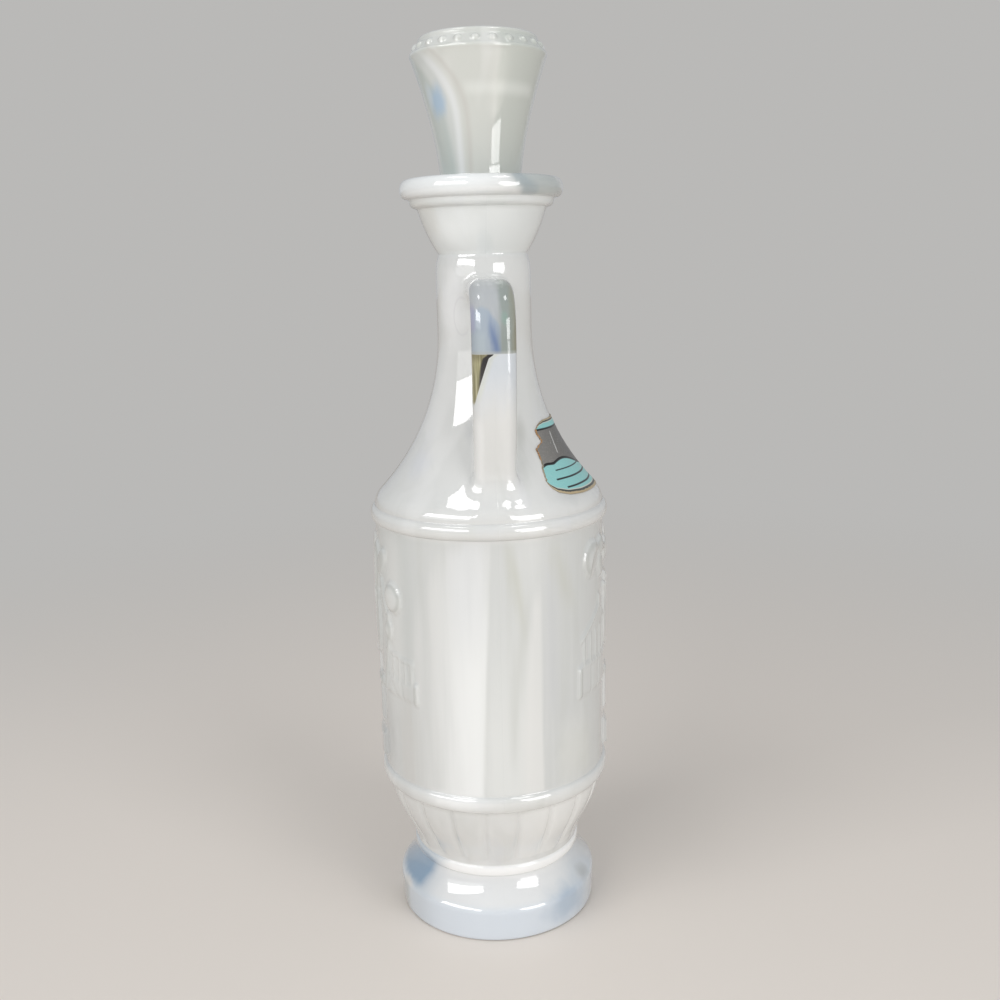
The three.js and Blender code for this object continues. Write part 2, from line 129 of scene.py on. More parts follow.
# %% Skin: points and faces of one closed mesh
class Skin:
    def __init__(self):
        self.points = []
        self.quads = []
        self.triangles = []
        self.count = 0

    def add(self, points):
        """Keeps an array of points, and returns their numbers in the array's own shape."""
        numbers = self.count + np.arange(points[..., 0].size).reshape(points.shape[:-1])
        self.points.append(points.reshape(-1, 3))
        self.count += numbers.size
        return numbers

    def weave(self, grid, keep=None, around=True):
        """Quads between the rows and columns of a grid; around joins the last column to the first."""
        right = np.roll(grid, -1, axis=1)
        faces = np.stack([grid[:-1], right[:-1], right[1:], grid[1:]], axis=-1)
        faces = faces if around else faces[:, :-1]
        self.quads.append(faces[keep] if keep is not None else faces.reshape(-1, 4))

    def zip(self, low, low_turn, high, high_turn):
        """Triangles between two rings, whose turns run from 0 to 1 in the same sense."""
        low_next = np.append(low_turn[1:], 1 + low_turn[0])
        high_next = np.append(high_turn[1:], 1 + high_turn[0])
        reached = np.searchsorted(high_next, low_next, "left") % len(high)
        self.triangles.append(np.stack([low, np.roll(low, -1), high[reached]], axis=-1))
        reached = np.searchsorted(low_next, high_next, "right") % len(low)
        self.triangles.append(np.stack([np.roll(high, -1), high, low[reached]], axis=-1))

    def cap(self, ring, point, first):
        """A fan from one point to a ring, at the skin's first row or at its last."""
        tip = np.full(len(ring), self.add(np.array([point], float))[0])
        pair = [np.roll(ring, -1), ring] if first else [ring, np.roll(ring, -1)]
        self.triangles.append(np.stack([tip, *pair], axis=-1))

    def piece(self, name, uv=None):
        """Writes the mesh in metres. uv is an optional pair of numbers for each point."""
        points = np.concatenate(self.points) * MM
        quads = np.concatenate(self.quads)
        triangles = np.concatenate(self.triangles or [np.zeros((0, 3), int)])
        corners = np.concatenate([quads.ravel(), triangles.ravel()])
        sides = np.concatenate([np.full(len(quads), 4), np.full(len(triangles), 3)])
        mesh = bpy.data.meshes.new(name)
        mesh.vertices.add(len(points))
        mesh.vertices.foreach_set("co", points.ravel())
        mesh.loops.add(len(corners))
        mesh.loops.foreach_set("vertex_index", corners.astype(np.int32))
        mesh.polygons.add(len(sides))
        mesh.polygons.foreach_set("loop_start", (np.cumsum(sides) - sides).astype(np.int32))
        mesh.polygons.foreach_set("use_smooth", np.ones(len(sides), bool))
        if uv is not None:
            layer = mesh.uv_layers.new(name="sheet")
            layer.data.foreach_set("uv", np.asarray(uv, np.float32)[corners].ravel())
        mesh.update(calc_edges=True)
        mesh.validate()
        made = bpy.data.objects.new(name, mesh)
        bpy.context.scene.collection.objects.link(made)
        print(name, len(points), "points", 2 * len(quads) + len(triangles), "triangles")
        return made


# %% [markdown]
# The bottle's outside, from the push-up under its foot to the top of its lip. The lower part runs
# to the middle of the shoulder and gets many columns, the upper part half as many. The long curves
# are Bezier curves laid over the silhouette, and the rings and beads are half-rounds.

# %% Bottle: outer profile
FOOT = [
    bezier([(1.5, 3.5), (20, 3.5), (27, 3.1), (29.6, 0.5), (31, 0)], 7),
    bezier([(33.5, 0), (38.4, 0)], 3),
    bezier([(38.9, 0.02), (39.4, 0.1), (39.5, 1.4)], 4),
    bezier([(39.6, 3), (39.78, 6.5), (39.82, 10.6)], 4),
    bezier([(39.82, 11.1), (39.8, 12.3), (39.4, 12.8), (38.8, 13.55)], 6),
    bezier([(38.4, 14.0), (35.6, 16.9), (33.3, 20.1), (32.85, 23.1)], 10),
]
WAIST_RING = half_round((32.7, 23.6), (32.9, 27.8), 0.75, 10)
BOWL = bezier([(33.1, 28.3), (33.9, 35.6), (41.4, 42.7), (43.3, 55.6)], 24)
LOWER_BEAD = half_round((43.7, 56.0), (44.0, 62.3), 1.6, 10)
BARREL_RADIUS = 44.0
BARREL = bezier([(BARREL_RADIUS, 62.8), (BARREL_RADIUS, 160.2)], 93)
SHOULDER_BEAD = half_round((44, 160.6), (43.9, 166.4), 1.93, 10)
SHOULDER_EDGE = bezier([(44.0, 166.8), (43.95, 168.9), (43.1, 170.6), (41.35, 172.4)], 8)
SHOULDER = bezier([(41.2, 172.55), (25.93, 188.8), (17.7, 209.45), (17.7, 232)], 46)[1:]
NECK = [
    bezier([(17.7, 233.5), (17.7, 251.5)], 11),
    bezier([(17.7, 252.5), (17.65, 256.6), (16.6, 259.1)], 7),
]
BELL = [
    bezier([(16.55, 259.7), (21.2, 266.4), (23.9, 275.6)], 13),
    bezier([(24.2, 275.9), (26.7, 276.2), (26.9, 278.8)], 6),
]
LIP = bezier([(27.1, 279.2), (29.7, 279.1), (30.8, 281.4), (30.5, 284), (29.6, 286.3),
              (27.2, 286.3)], 13)

SPLIT_HEIGHT = 200
under_split = SHOULDER[:, 1] < SPLIT_HEIGHT
lower_profile = np.vstack([*FOOT, WAIST_RING, BOWL, LOWER_BEAD, BARREL, SHOULDER_BEAD,
                           SHOULDER_EDGE, SHOULDER[under_split]])
upper_profile = np.vstack([SHOULDER[~under_split][::2], *NECK, *BELL, LIP])
outer_profile = np.vstack([lower_profile, upper_profile])
print("profile rows", len(lower_profile), len(upper_profile))


def body_radius(height):
    """Radius of the outside at a height, read off the profile; used above the barrel."""
    return np.interp(height, outer_profile[:, 1], outer_profile[:, 0])


TAIL_PROUD = 0.5
TAIL_MIDDLE = -1.2


def tail(azimuth, height):
    """The strap's root runs on down the shoulder as a low ridge, a little left of its plane."""
    across = np.abs(np.sin(azimuth) * body_radius(height) - TAIL_MIDDLE)
    band = window(height, 166.8, 173.5, 182, 196) * (np.cos(azimuth) > 0)
    return TAIL_PROUD * band * (1 - ease(across, 4.6, 8.2))


# %% [markdown]
# The throat and the hollow, from the lip down to the floor, 5 mm inside the outer skin. The ledge
# in the throat is the seat of the stopper's plug, and the straight bore under it holds the cork.

# %% Bottle: inner profile
inner_profile = np.vstack([
    bezier([(26.3, 286.2), (25.5, 283), (19.4, 275.8)], 9),
    bezier([(19.1, 275), (17.6, 269.2), (14.3, 262.5)], 6),
    bezier([(14.2, 262.25), (12.6, 262.2), (12, 261.4)], 4),
    bezier([(12, 258), (12, 233)], 4),
    bezier([(12, 231), (12, 208.2), (20.4, 186.4), (36.1, 169.5)], 12),
    bezier([(37.6, 167.4), (39, 165), (39, 160.5)], 4),
    bezier([(39, 150), (39, 66)], 5),
    bezier([(39, 62.2), (35, 42.7), (27.8, 29.6)], 8),
    bezier([(27.8, 24), (27.8, 12.5), (27.8, 8.5), (24, 8.5)], 8),
    bezier([(16, 8.5), (2, 8.5)], 3),
])

# %% [markdown]
# The bowl between foot and barrel is pressed with twenty flutes. Each is a broad, slightly hollow
# lobe with a round lower end, and narrow soft grooves part them. A lobe's outline is a distance in
# millimetres from its edge, so the same formula gives the groove's width, its depth and the U at
# its foot, which is shallower than the sides and fades into the plain ring below.

# %% Bottle: flutes
FLUTE_COUNT = 20
FLUTE_TURN = np.radians(-1.3)
FLUTE_DEPTH = 0.75
FLUTE_FOOT = 28.8


def flutes(azimuth, height, radius):
    """How far the wall is drawn in: the full depth in a groove and nothing on a lobe, with an ease
    over the edge distance w - |s|, or w - hypot(s, z - z0) round the lobe's lower end."""
    pitch = 2 * np.pi / FLUTE_COUNT
    across = nearest(azimuth, FLUTE_TURN, pitch) * radius
    half = pitch / 2 * radius - 0.25
    drop = np.minimum(height - (FLUTE_FOOT + half), 0)
    inside = half - np.hypot(across, drop)
    band = window(height, 28.2, 30.2, 55.2, 56.2)
    depth = FLUTE_DEPTH * (0.45 + 0.55 * ease(height, 30, 39))
    return band * (depth * (1 - ease(inside, -0.5, 1.8)) + 0.25 * (across / half) ** 2)


# %% [markdown]
# Both sides of the barrel carry the same pressed scene: an urn with leaves on a pedestal, a gabled
# temple on its left, and a colonnade, a bud and an egg-shaped tree crown on its right. Pressed
# relief is a height over the barrel with soft edges everywhere, so it is a height field: each motif
# is a small function of the distance along the wall and the height, and the highest one wins.

# %% Bottle: relief
RELIEF_PROUD = 1.9
PANEL_HALF = np.radians(62) * BARREL_RADIUS


def dome(s, z, centre, half, proud, tilt=0.0):
    """An oval swelling: proud times the root of 1 - q^2, q being 1 on the oval's outline."""
    c, d = math.cos(tilt), math.sin(tilt)
    u = ((s - centre[0]) * c + (z - centre[1]) * d) / half[0]
    v = ((z - centre[1]) * c - (s - centre[0]) * d) / half[1]
    return proud * np.sqrt(np.clip(1 - u * u - v * v, 0, 1))


def rod(s, z, start, end, half, proud):
    """A half-round bar between two points, with round ends."""
    along = np.array(end, float) - np.array(start)
    t = ((s - start[0]) * along[0] + (z - start[1]) * along[1]) / (along @ along)
    t = np.clip(t, 0, 1)
    away = np.hypot(s - start[0] - t * along[0], z - start[1] - t * along[1])
    return proud * np.sqrt(np.clip(1 - (away / half) ** 2, 0, 1))


def slab(s, z, left, right, bottom, top, proud, soft=0.9):
    """A flat raised rectangle whose edges rise softly."""
    inside = np.minimum(np.minimum(s - left, right - s), np.minimum(z - bottom, top - z))
    return proud * ease(inside, 0, soft)


# %% Bottle: the scene's motifs
URN = [
    (slab, -11, 11, 66, 77, 1.6), (slab, -9, 9, 80, 98, 1.2, 1.6), (slab, -10, 10, 96, 99.5, 1.5),
    (slab, -3, 3, 98, 107, 0.9), (dome, (-2, 121), (11, 16.5), 1.9), (slab, -8, 7, 134, 137.5, 1.75),
    *[(rod, (-2, 107), (-2 + 8.5 * lean, 133), 1.5, 1.9 - 0.25 * abs(lean))
      for lean in (-1, -0.5, 0, 0.5, 1)],
    (dome, (5.6, 143), (5.6, 11.5), 1.9, -0.25), (dome, (-8.2, 147.3), (5.2, 5.6), 1.9),
    (dome, (-1.5, 150), (4.2, 6.4), 1.5, 0.1), (dome, (12.6, 146), (4, 8), 1.3, -0.75),
]
COLONNADE = [
    (dome, (22.6, 134.6), (6.2, 6.1), 1.9), (dome, (18.8, 121.2), (3.1, 4.8), 1.5),
    (rod, (18.9, 123), (18.9, 127.5), 1.2, 1.1), (rod, (18.6, 118), (14.2, 97), 1.4, 1.0),
    (rod, (12.5, 139), (16.5, 128), 1.6, 1.0), (rod, (14.8, 113.6), (33.6, 110.9), 0.8, 0.6),
    (slab, 15, 35.6, 95.4, 103.3, 0.55), (slab, 33.4, 36.4, 95, 103.8, 1.1, 1.2),
    *[(rod, (x, 103), (x, 111), 0.75, 0.45) for x in (17.5, 21.5, 25.5, 29.2, 32.6)],
]
TEMPLE = [
    (rod, (-29, 150), (-20.5, 152), 1.7, 1.3), (dome, (-18.6, 151), (4.0, 4.0), 1.5),
    (dome, (-18.3, 143.4), (3.8, 5.6), 1.2, 0.35), (rod, (-15.5, 150), (-10, 148), 1.8, 1.5),
    (rod, (-20.6, 127.6), (-34.6, 117.4), 0.9, 0.8), (rod, (-20.6, 127.6), (-8, 118), 0.9, 0.8),
    (rod, (-20.6, 127), (-20.6, 131.4), 0.8, 0.8), (slab, -36.6, -9, 95.2, 107, 0.55),
    (slab, -37.2, -34.2, 94.8, 107.6, 1.2, 1.2), (rod, (-34.6, 107), (-9, 107), 0.7, 0.75),
    *[(rod, (x, 107), (x, 118.5), 0.75, 0.45) for x in (-33, -28.2, -23.4, -18.6, -13.8)],
]
CURL = (dome, (-27, 147.6), (6.4, 7.4), 1.7, -0.2)
CURL_HOLLOW = (dome, (-24.6, 145.4), (4.4, 6.2), 0.75, -0.35)
GROOVES = [
    (rod, (17, 103), (25, 95), 0.6, 0.25), (rod, (26, 103), (28, 95), 0.6, 0.25),
    *[(rod, (x, 105), (x, 96), 0.6, 0.25) for x in (-28, -22)],
]


def highest(motifs, s, z):
    """The height of the highest motif. Each is a shape with its places and sizes, which are
    millimetres to the right of the panel's middle and millimetres above the table."""
    return np.maximum.reduce([shape(s, z, *sizes) for shape, *sizes in motifs])


def scene_relief(s, z):
    """Height of the pressed scene, with the hollow of its curl and the grooves of its bases."""
    curl = highest([CURL], s, z)
    curl = curl - highest([CURL_HOLLOW], s, z) * (curl > 0)
    height = np.maximum(highest(URN + COLONNADE + TEMPLE, s, z), curl)
    return np.clip(height - highest(GROOVES, s, z), 0, RELIEF_PROUD)


def relief(azimuth, height):
    """The scene on both sides: each panel's own s runs to the right as one faces it."""
    raised = 0
    for middle in (np.pi / 2, 3 * np.pi / 2):
        s = (azimuth - middle) * BARREL_RADIUS
        raised = raised + np.where(np.abs(s) < PANEL_HALF, scene_relief(s, height), 0)
    return raised


# %% [markdown]
# Glass that left the mould hot is never quite true. A few slow waves of less than a tenth of a
# millimetre bend the reflections in the barrel and shoulder a little, as on the real bottle.

# %% Bottle: hand-finished waviness
def waviness(azimuth, height):
    """The sum of three crossed waves round and along the bottle, in millimetres."""
    return (0.030 * np.sin(3 * azimuth + height / 23) + 0.022 * np.sin(5 * azimuth - height / 15 + 1)
            + 0.016 * np.sin(9 * azimuth + height / 9 + 2))


# %% [markdown]
# The lower grid has a column about every degree at the front, every 0.8 degrees over the relief,
# and fewer at the plain back. The handle's plane is a column, which the mould's seam needs. The
# upper grid keeps every second column and the throat every fourth.

# %% Bottle: body grids
AZIMUTH = np.radians(np.concatenate([np.arange(start, end - 1e-9, step) for start, end, step in (
    (-42, -14, 1), (-14, 14, 0.7), (14, 42, 1), (42, 138, 0.8), (138, 222, 2.1), (222, 318, 0.8))]))
TURN = (AZIMUTH - AZIMUTH[0]) / (2 * np.pi)


def body_grid(profile, columns):
    """The profile at every azimuth, moved out by relief and waves and in by the flutes."""
    radius = profile[:, :1]
    height = profile[:, 1:]
    azimuth = AZIMUTH[None, ::columns] % (2 * np.pi)
    free = window(height, 63, 66, 157, 160) * ease(radius, 43, 44)
    wave = ease(radius, 5, 15) * window(height, 0.1, 2, 255, 262)
    radius = radius + free * relief(azimuth, height) - flutes(azimuth, height, radius)
    radius = radius + tail(azimuth, height)
    calm = 1 - ease(np.abs(height - 163.4), 4, 1.5) - ease(np.abs(height - 59.2), 4, 1.5)
    return turned(radius + waviness(azimuth, height) * wave * calm, azimuth, height)


lower_points = body_grid(lower_profile, 1)
upper_points = body_grid(upper_profile, 2)
inner_points = turned(inner_profile[:, :1], AZIMUTH[None, ::4], inner_profile[:, 1:])

# %% [markdown]
# The strap handle leaves the neck level, turns down and runs out into the shoulder. Its section is
# a flat bar with half-round edges. Every point of the section follows the strap as a fibre, and
# where a fibre meets the bottle it bends over a fillet onto the skin. Out of the neck that is a
# small round fillet. Down at the shoulder the fillet is wide, and the outer fibres meet the glass
# at a shallow angle, so that the same rule lets the strap flare and fade out there.

# %% Handle: line and section
HANDLE_HALF_WIDTH = 7.75
HANDLE_HALF_THICKNESS = 4.25
HANDLE_EDGE = 4.1
HANDLE_STEPS = 600
SECTION_POINTS = 56
handle_line = through([(8, 246.75), (13, 246.75), (20, 246.75), (27, 246.75), (33.2, 246.1),
                       (38.1, 243.1), (40.8, 237.6), (41.35, 231), (41.15, 223.5), (40.5, 215),
                       (39.0, 205), (36.8, 195.5), (34.2, 186), (31.5, 176), (29.2, 167),
                       (27.2, 159)], HANDLE_STEPS)


def bar_section(count):
    """A rectangle with round corners, its points at even steps along the outline. The first
    number runs across the strap, the second out of the handle's loop."""
    turn = np.linspace(0, 2 * np.pi, 2000, endpoint=False)
    flat_x = HANDLE_HALF_WIDTH - HANDLE_EDGE
    flat_n = HANDLE_HALF_THICKNESS - HANDLE_EDGE
    rim = np.stack([np.sign(np.cos(turn)) * flat_x + HANDLE_EDGE * np.cos(turn),
                    np.sign(np.sin(turn)) * flat_n + HANDLE_EDGE * np.sin(turn)], axis=-1)
    closed = np.vstack([rim, rim[:1]])
    length = np.concatenate([[0], np.cumsum(np.hypot(*np.diff(closed, axis=0).T))])
    even = np.linspace(0, length[-1], count, endpoint=False)
    return np.stack([np.interp(even, length, closed[:, k]) for k in (0, 1)], axis=-1)


section = bar_section(SECTION_POINTS)
tangent = np.gradient(handle_line, axis=0)
tangent /= np.hypot(*tangent.T)[:, None]
outward = np.stack([-tangent[:, 1], tangent[:, 0]], axis=-1)
fibre_radial = handle_line[:, None, 0] + outward[:, None, 0] * section[None, :, 1]
fibre_height = handle_line[:, None, 1] + outward[:, None, 1] * section[None, :, 1]
fibres = np.stack([np.broadcast_to(section[None, :, 0], fibre_radial.shape), -fibre_radial,
                   fibre_height], axis=-1)
print("handle outer face at", fibres[..., 1].min().round(2))


# %% Handle: landing its fibres on the bottle
def on_body(points):
    """Points moved straight out or in onto the bottle's outside."""
    azimuth, height = azimuth_at(points), points[..., 2]
    return turned(body_radius(height) + tail(azimuth, height), azimuth, height)


def clearance(points):
    """How much farther from the bottle's axis points lie than the bottle's outside."""
    skin = on_body(points)
    return np.hypot(points[..., 0], points[..., 1]) - np.hypot(skin[..., 0], skin[..., 1])


def body_normal(points):
    """Outward direction of the bottle's skin, from the profile's slope at that height."""
    slope = (body_radius(points[..., 2] + 0.4) - body_radius(points[..., 2] - 0.4)) / 0.8
    azimuth = azimuth_at(points)
    normal = np.stack([np.sin(azimuth), -np.cos(azimuth), -slope], axis=-1)
    return normal / np.linalg.norm(normal, axis=-1, keepdims=True)


def root(fibres, step, square, shallow, count):
    """One end of the handle. Going along the fibres in the given step, each meets the bottle at P
    with direction d and surface direction e. It leaves its line some way before P, and lands some
    way beyond P in the direction (e.n) d - (d.n) e, which lies in the bottle's skin. Both ways are
    a pair of lengths, given for a square and for a shallow meeting. A quadratic curve with its
    corner at P joins the two. Returns the index where each fibre ends, and rings."""
    clear = clearance(fibres)
    order = np.arange(len(fibres))[::step]
    middle = len(order) // 2
    meets = order[middle + np.argmax(clear[order[middle:]] < 0, axis=0)]
    columns = np.arange(fibres.shape[1])
    at = fibres[meets, columns]
    ahead = at - fibres[meets - 4 * step, columns]
    ahead /= np.linalg.norm(ahead, axis=-1, keepdims=True)
    centre = fibres.mean(axis=1)[meets]
    side = np.roll(at, -1, axis=0) - np.roll(at, 1, axis=0)
    surface = np.cross(side, ahead)
    surface /= np.linalg.norm(surface, axis=-1, keepdims=True)
    surface *= np.sign(np.sum(surface * (at - centre), axis=-1, keepdims=True))
    normal = body_normal(at)
    leaning = np.sum(surface * normal, axis=-1)
    facing = np.sum(ahead * normal, axis=-1)
    landing = leaning[:, None] * ahead - facing[:, None] * surface
    landing /= np.linalg.norm(landing, axis=-1, keepdims=True)
    blend = ease(leaning, 0.1, 0.55)
    reach = square[0] + (shallow[0] - square[0]) * blend
    spread = square[1] + (shallow[1] - square[1]) * blend
    foot = on_body(at + landing * spread[:, None])
    travelled = np.linalg.norm(fibres - at[None], axis=-1)
    before = (order[:, None] * step < meets * step) & (travelled[order] > reach)
    leaves = order[len(order) - 1 - np.argmax(before[::-1], axis=0)]
    start = fibres[leaves, columns]
    t = np.linspace(0, 1, count)[:, None, None]
    rings = (1 - t) ** 2 * start + 2 * (1 - t) * t * on_body(at) + t**2 * foot
    return leaves, rings


NECK_FILLET = (2.4, 2.4)
SHOULDER_FILLET = (1.4, 1.0)
SHOULDER_FLARE = (7.0, 6.0)
neck_leaves, neck_rings = root(fibres, -1, NECK_FILLET, NECK_FILLET, 8)
shoulder_leaves, shoulder_rings = root(fibres, 1, SHOULDER_FILLET, SHOULDER_FLARE, 16)
print("neck root z", neck_rings[-1, :, 2].min().round(1), neck_rings[-1, :, 2].max().round(1))
print("shoulder root z", shoulder_rings[-1, :, 2].min().round(1),
      shoulder_rings[-1, :, 2].max().round(1))

# %% Handle: the free strap between its two roots
STRAP_RINGS = 44
share = np.linspace(0, 1, STRAP_RINGS + 2)[1:-1, None]
places = neck_leaves + share * (shoulder_leaves - neck_leaves)
columns = np.arange(fibres.shape[1])[None]
lower_index = places.astype(int)
strap = fibres[lower_index, columns] + (places - lower_index)[..., None] * (
    fibres[lower_index + 1, columns] - fibres[lower_index, columns])
handle_points = np.concatenate([neck_rings[::-1], strap, shoulder_rings])
print("handle rings", len(handle_points))

# %% [markdown]
# The handle and the body are one skin, so the body's grids get an opening at each root. An opening
# is a block of left-out quads, and its rim is zipped to the handle's last ring over one ring of
# points that lie on the bottle half way between the two.

# %% Bottle: openings in the body for the handle's roots
def opening(numbers, points, landing, margin, downwards):
    """Leaves out the block of quads that holds the landing ring and a margin. Turns are angles
    round the ring's middle, reversed where the strap runs down into the body. Returns the mask of
    the quads that stay, the ring half way, the block's rim and its turns, and the landing's."""
    azimuth = azimuth_at(points[0])
    reach = np.abs(azimuth_at(landing)).max() - margin / landing[0, 1]
    heights = points[:, 0, 2]
    row0 = np.searchsorted(heights, landing[:, 2].min() - margin) - 1
    row1 = np.searchsorted(heights, landing[:, 2].max() + margin)
    inside = np.flatnonzero(np.abs(azimuth) <= reach)
    col0, col1 = inside.min() - 1, inside.max() + 1
    rim = outline(numbers[row0:row1 + 1, col0:col1 + 1])
    rim_points = outline(points[row0:row1 + 1, col0:col1 + 1])
    middle = (landing[:, 2].min() + landing[:, 2].max()) / 2
    size = np.hypot(landing[0, 0], landing[0, 1])

    sign = -1 if downwards else 1

    def flat(p):
        return azimuth_at(p) * size, (p[:, 2] - middle) * sign

    def turn_of(p):
        return np.arctan2(*flat(p)[::-1]) / (2 * np.pi) % 1

    rim_turn = turn_of(rim_points)
    order = np.argsort(rim_turn)
    rim, rim_turn, rim_points = rim[order], rim_turn[order], rim_points[order]
    ring_turn = turn_of(landing)
    rim_away = np.hypot(*flat(rim_points))
    away = np.interp(ring_turn, rim_turn, rim_away, period=1)
    between = (np.hypot(*flat(landing)) + away) / 2
    across = np.cos(2 * np.pi * ring_turn) * between
    up = np.sin(2 * np.pi * ring_turn) * between * sign
    half_way = on_body(turned(size, across / size, middle + up))
    stays = np.ones((len(numbers) - 1, numbers.shape[1]), bool)
    stays[row0:row1, col0:col1] = False
    print("opening rows", row0, row1, "columns", col0, col1, "rim", len(rim))
    return stays, half_way, rim, rim_turn, ring_turn


bottle_skin = Skin()
lower = bottle_skin.add(lower_points)
upper = bottle_skin.add(upper_points)
inner = bottle_skin.add(inner_points)
ROOT_MARGIN = 1.2
neck_stays, neck_half_way, neck_rim, neck_rim_turn, neck_turn = opening(
    upper, upper_points, neck_rings[-1], ROOT_MARGIN, False)
shoulder_stays, shoulder_half_way, shoulder_rim, shoulder_rim_turn, shoulder_turn = opening(
    lower, lower_points, shoulder_rings[-1], ROOT_MARGIN, True)

bottle_skin.weave(lower, shoulder_stays)
bottle_skin.weave(upper, neck_stays)
bottle_skin.weave(inner)
bottle_skin.zip(lower[-1], TURN, upper[0], TURN[::2])
bottle_skin.zip(upper[-1], TURN[::2], inner[0], TURN[::4])
bottle_skin.cap(lower[0], (0, 0, lower_profile[0, 1]), True)
bottle_skin.cap(inner[-1], (0, 0, inner_profile[-1, 1]), False)

# %% Bottle: the handle's skin
tube = bottle_skin.add(np.concatenate([neck_half_way[None], handle_points, shoulder_half_way[None]]))
bottle_skin.weave(tube)
first = np.argmin(neck_turn)
last = np.argmin(shoulder_turn)
bottle_skin.zip(neck_rim, neck_rim_turn, np.roll(tube[0], -first), np.roll(neck_turn, -first))
bottle_skin.zip(np.roll(tube[-1], -last), np.roll(shoulder_turn, -last), shoulder_rim,
                shoulder_rim_turn)
glass_bottle = bottle_skin.piece("bottle_glass")

# %% [markdown]
# The stopper is solid glass: a stem for the cork, a plug, a long flare, and a low crown. A ring of
# 24 pearls sits on the sloping band round the crown. They are pressed with the rest, so they are
# small domes in the same height field and not balls stuck on.

# %% Stopper
PEARL_COUNT = 24
PEARL_TURN = np.radians(-6.3)
PEARL_HALF = 1.45
PEARL_PROUD = 0.85
PEARL_OUT = (0.8, 0.6)
BAND_FOOT = (24.0, 329.5)
BAND_TOP = (21.9, 332.3)
stopper_profile = np.vstack([
    bezier([(1, 235.7), (6, 235.7)], 3),
    bezier([(6.4, 235.75), (7, 235.9), (7, 236.6)], 3),
    bezier([(7, 240), (7, 260.5)], 5),
    bezier([(7, 261.9), (7.1, 262.5), (8, 262.5)], 3),
    bezier([(9, 262.5), (12.9, 262.5), (13.6, 262.6), (13.6, 263.4)], 6),
    bezier([(13.6, 264), (13.6, 268.5), (14.6, 278), (15.0, 287.5)], 14),
    bezier([(15.02, 288), (16.25, 303.7), (24.25, 326.9)], 52)[1:],
    bezier([(24.55, 327.6), (25.0, 328.4), (24.75, 329), (24.1, 329.35)], 8),
    bezier([BAND_FOOT, BAND_TOP], 12),
    bezier([(21.75, 332.5), (21.6, 332.9), (21.55, 333.4)], 4),
    bezier([(21.5, 333.8), (21.3, 334.7), (19.8, 334.9)], 6),
    bezier([(18.5, 335.0), (8, 335.3), (1, 335.3)], 6),
])
STOPPER_COLUMNS = PEARL_COUNT * 14


def pearls(azimuth, radius, height):
    """Domes along the band: proud times the root of 1 - q^2, q from the distance along the band
    and the distance round it to the nearest pearl."""
    middle = (np.array(BAND_FOOT) + BAND_TOP) / 2
    band = np.array(BAND_TOP) - BAND_FOOT
    band /= np.linalg.norm(band)
    across = nearest(azimuth, PEARL_TURN, 2 * np.pi / PEARL_COUNT) * radius
    along = (radius - middle[0]) * band[0] + (height - middle[1]) * band[1]
    away = np.abs((radius - middle[0]) * band[1] - (height - middle[1]) * band[0])
    q = np.hypot(across, along) / PEARL_HALF
    return PEARL_PROUD * np.sqrt(np.clip(1 - q * q, 0, 1)) * (away < 0.5)


stopper_azimuth = even_azimuths(STOPPER_COLUMNS)
stopper_radius, stopper_height = stopper_profile[:, :1], stopper_profile[:, 1:]
lift = pearls(stopper_azimuth, stopper_radius, stopper_height)
stopper_wave = 0.6 * waviness(stopper_azimuth, stopper_height)
stopper_wave = stopper_wave * window(stopper_height, 286, 290, 325, 327)
stopper_skin = Skin()
stopper = stopper_skin.add(turned(stopper_radius + PEARL_OUT[0] * lift + stopper_wave,
                                  stopper_azimuth, stopper_height + PEARL_OUT[1] * lift))
stopper_skin.weave(stopper)
stopper_skin.cap(stopper[0], (0, 0, stopper_profile[0, 1]), True)
stopper_skin.cap(stopper[-1], (0, 0, stopper_profile[-1, 1]), False)
glass_stopper = stopper_skin.piece("stopper_glass")

# %% [markdown]
# The cork sleeve is turned from bark, so its skin has pits where the bark's pores were cut. A few
# dozen random pits are pressed into the grid, and finer ones follow in the material.

# %% Cork sleeve
rng = np.random.default_rng(7)
cork_profile = np.vstack([
    bezier([(7.3, 238.6), (7.6, 238.2), (9, 238.2), (10.4, 238.2)], 5),
    bezier([(10.7, 238.25), (11.1, 238.4), (11.2, 239)], 4),
    bezier([(11.2, 239.6), (11.65, 260.8)], 44),
    bezier([(11.65, 261.4), (11.6, 262.1), (10.9, 262.15)], 4),
    bezier([(10, 262.2), (8, 262.2), (7.3, 261.8)], 5),
    bezier([(7.3, 258), (7.3, 241)], 4),
])
CORK_RADIUS = 11.5
CORK_COLUMNS = 144
PIT_COUNT = 46
cork_azimuth = even_azimuths(CORK_COLUMNS)
cork_radius, cork_height = cork_profile[:, :1], cork_profile[:, 1:]
pits = np.zeros((len(cork_profile), CORK_COLUMNS))
for pit_azimuth, pit_height, size in zip(
        rng.uniform(0, 2 * np.pi, PIT_COUNT), rng.uniform(241, 260, PIT_COUNT),
        rng.uniform(0.35, 1.0, PIT_COUNT)):
    away = nearest(cork_azimuth, pit_azimuth, 2 * np.pi) * CORK_RADIUS
    q = np.hypot(away / (1.6 * size), (cork_height - pit_height) / (0.8 * size))
    pits = np.maximum(pits, 0.35 * size * np.exp(-q * q) * ease(cork_radius, 11, 11.3))
cork_skin = Skin()
cork = cork_skin.add(turned(cork_radius - pits, cork_azimuth, cork_height))
cork_skin.weave(cork)
cork_skin.weave(cork[[-1, 0]])
cork_sleeve = cork_skin.piece("cork_ring")

# %% [markdown]
# The foil label lies on the doubly curved shoulder like a shield with a round foot. Its outline is
# four curves of azimuth and height, and a Coons patch fills them: each point blends the two side
# curves and the top and bottom curves, less the corners that both pairs share. Its left edge is
# torn, so that curve gets small random steps.

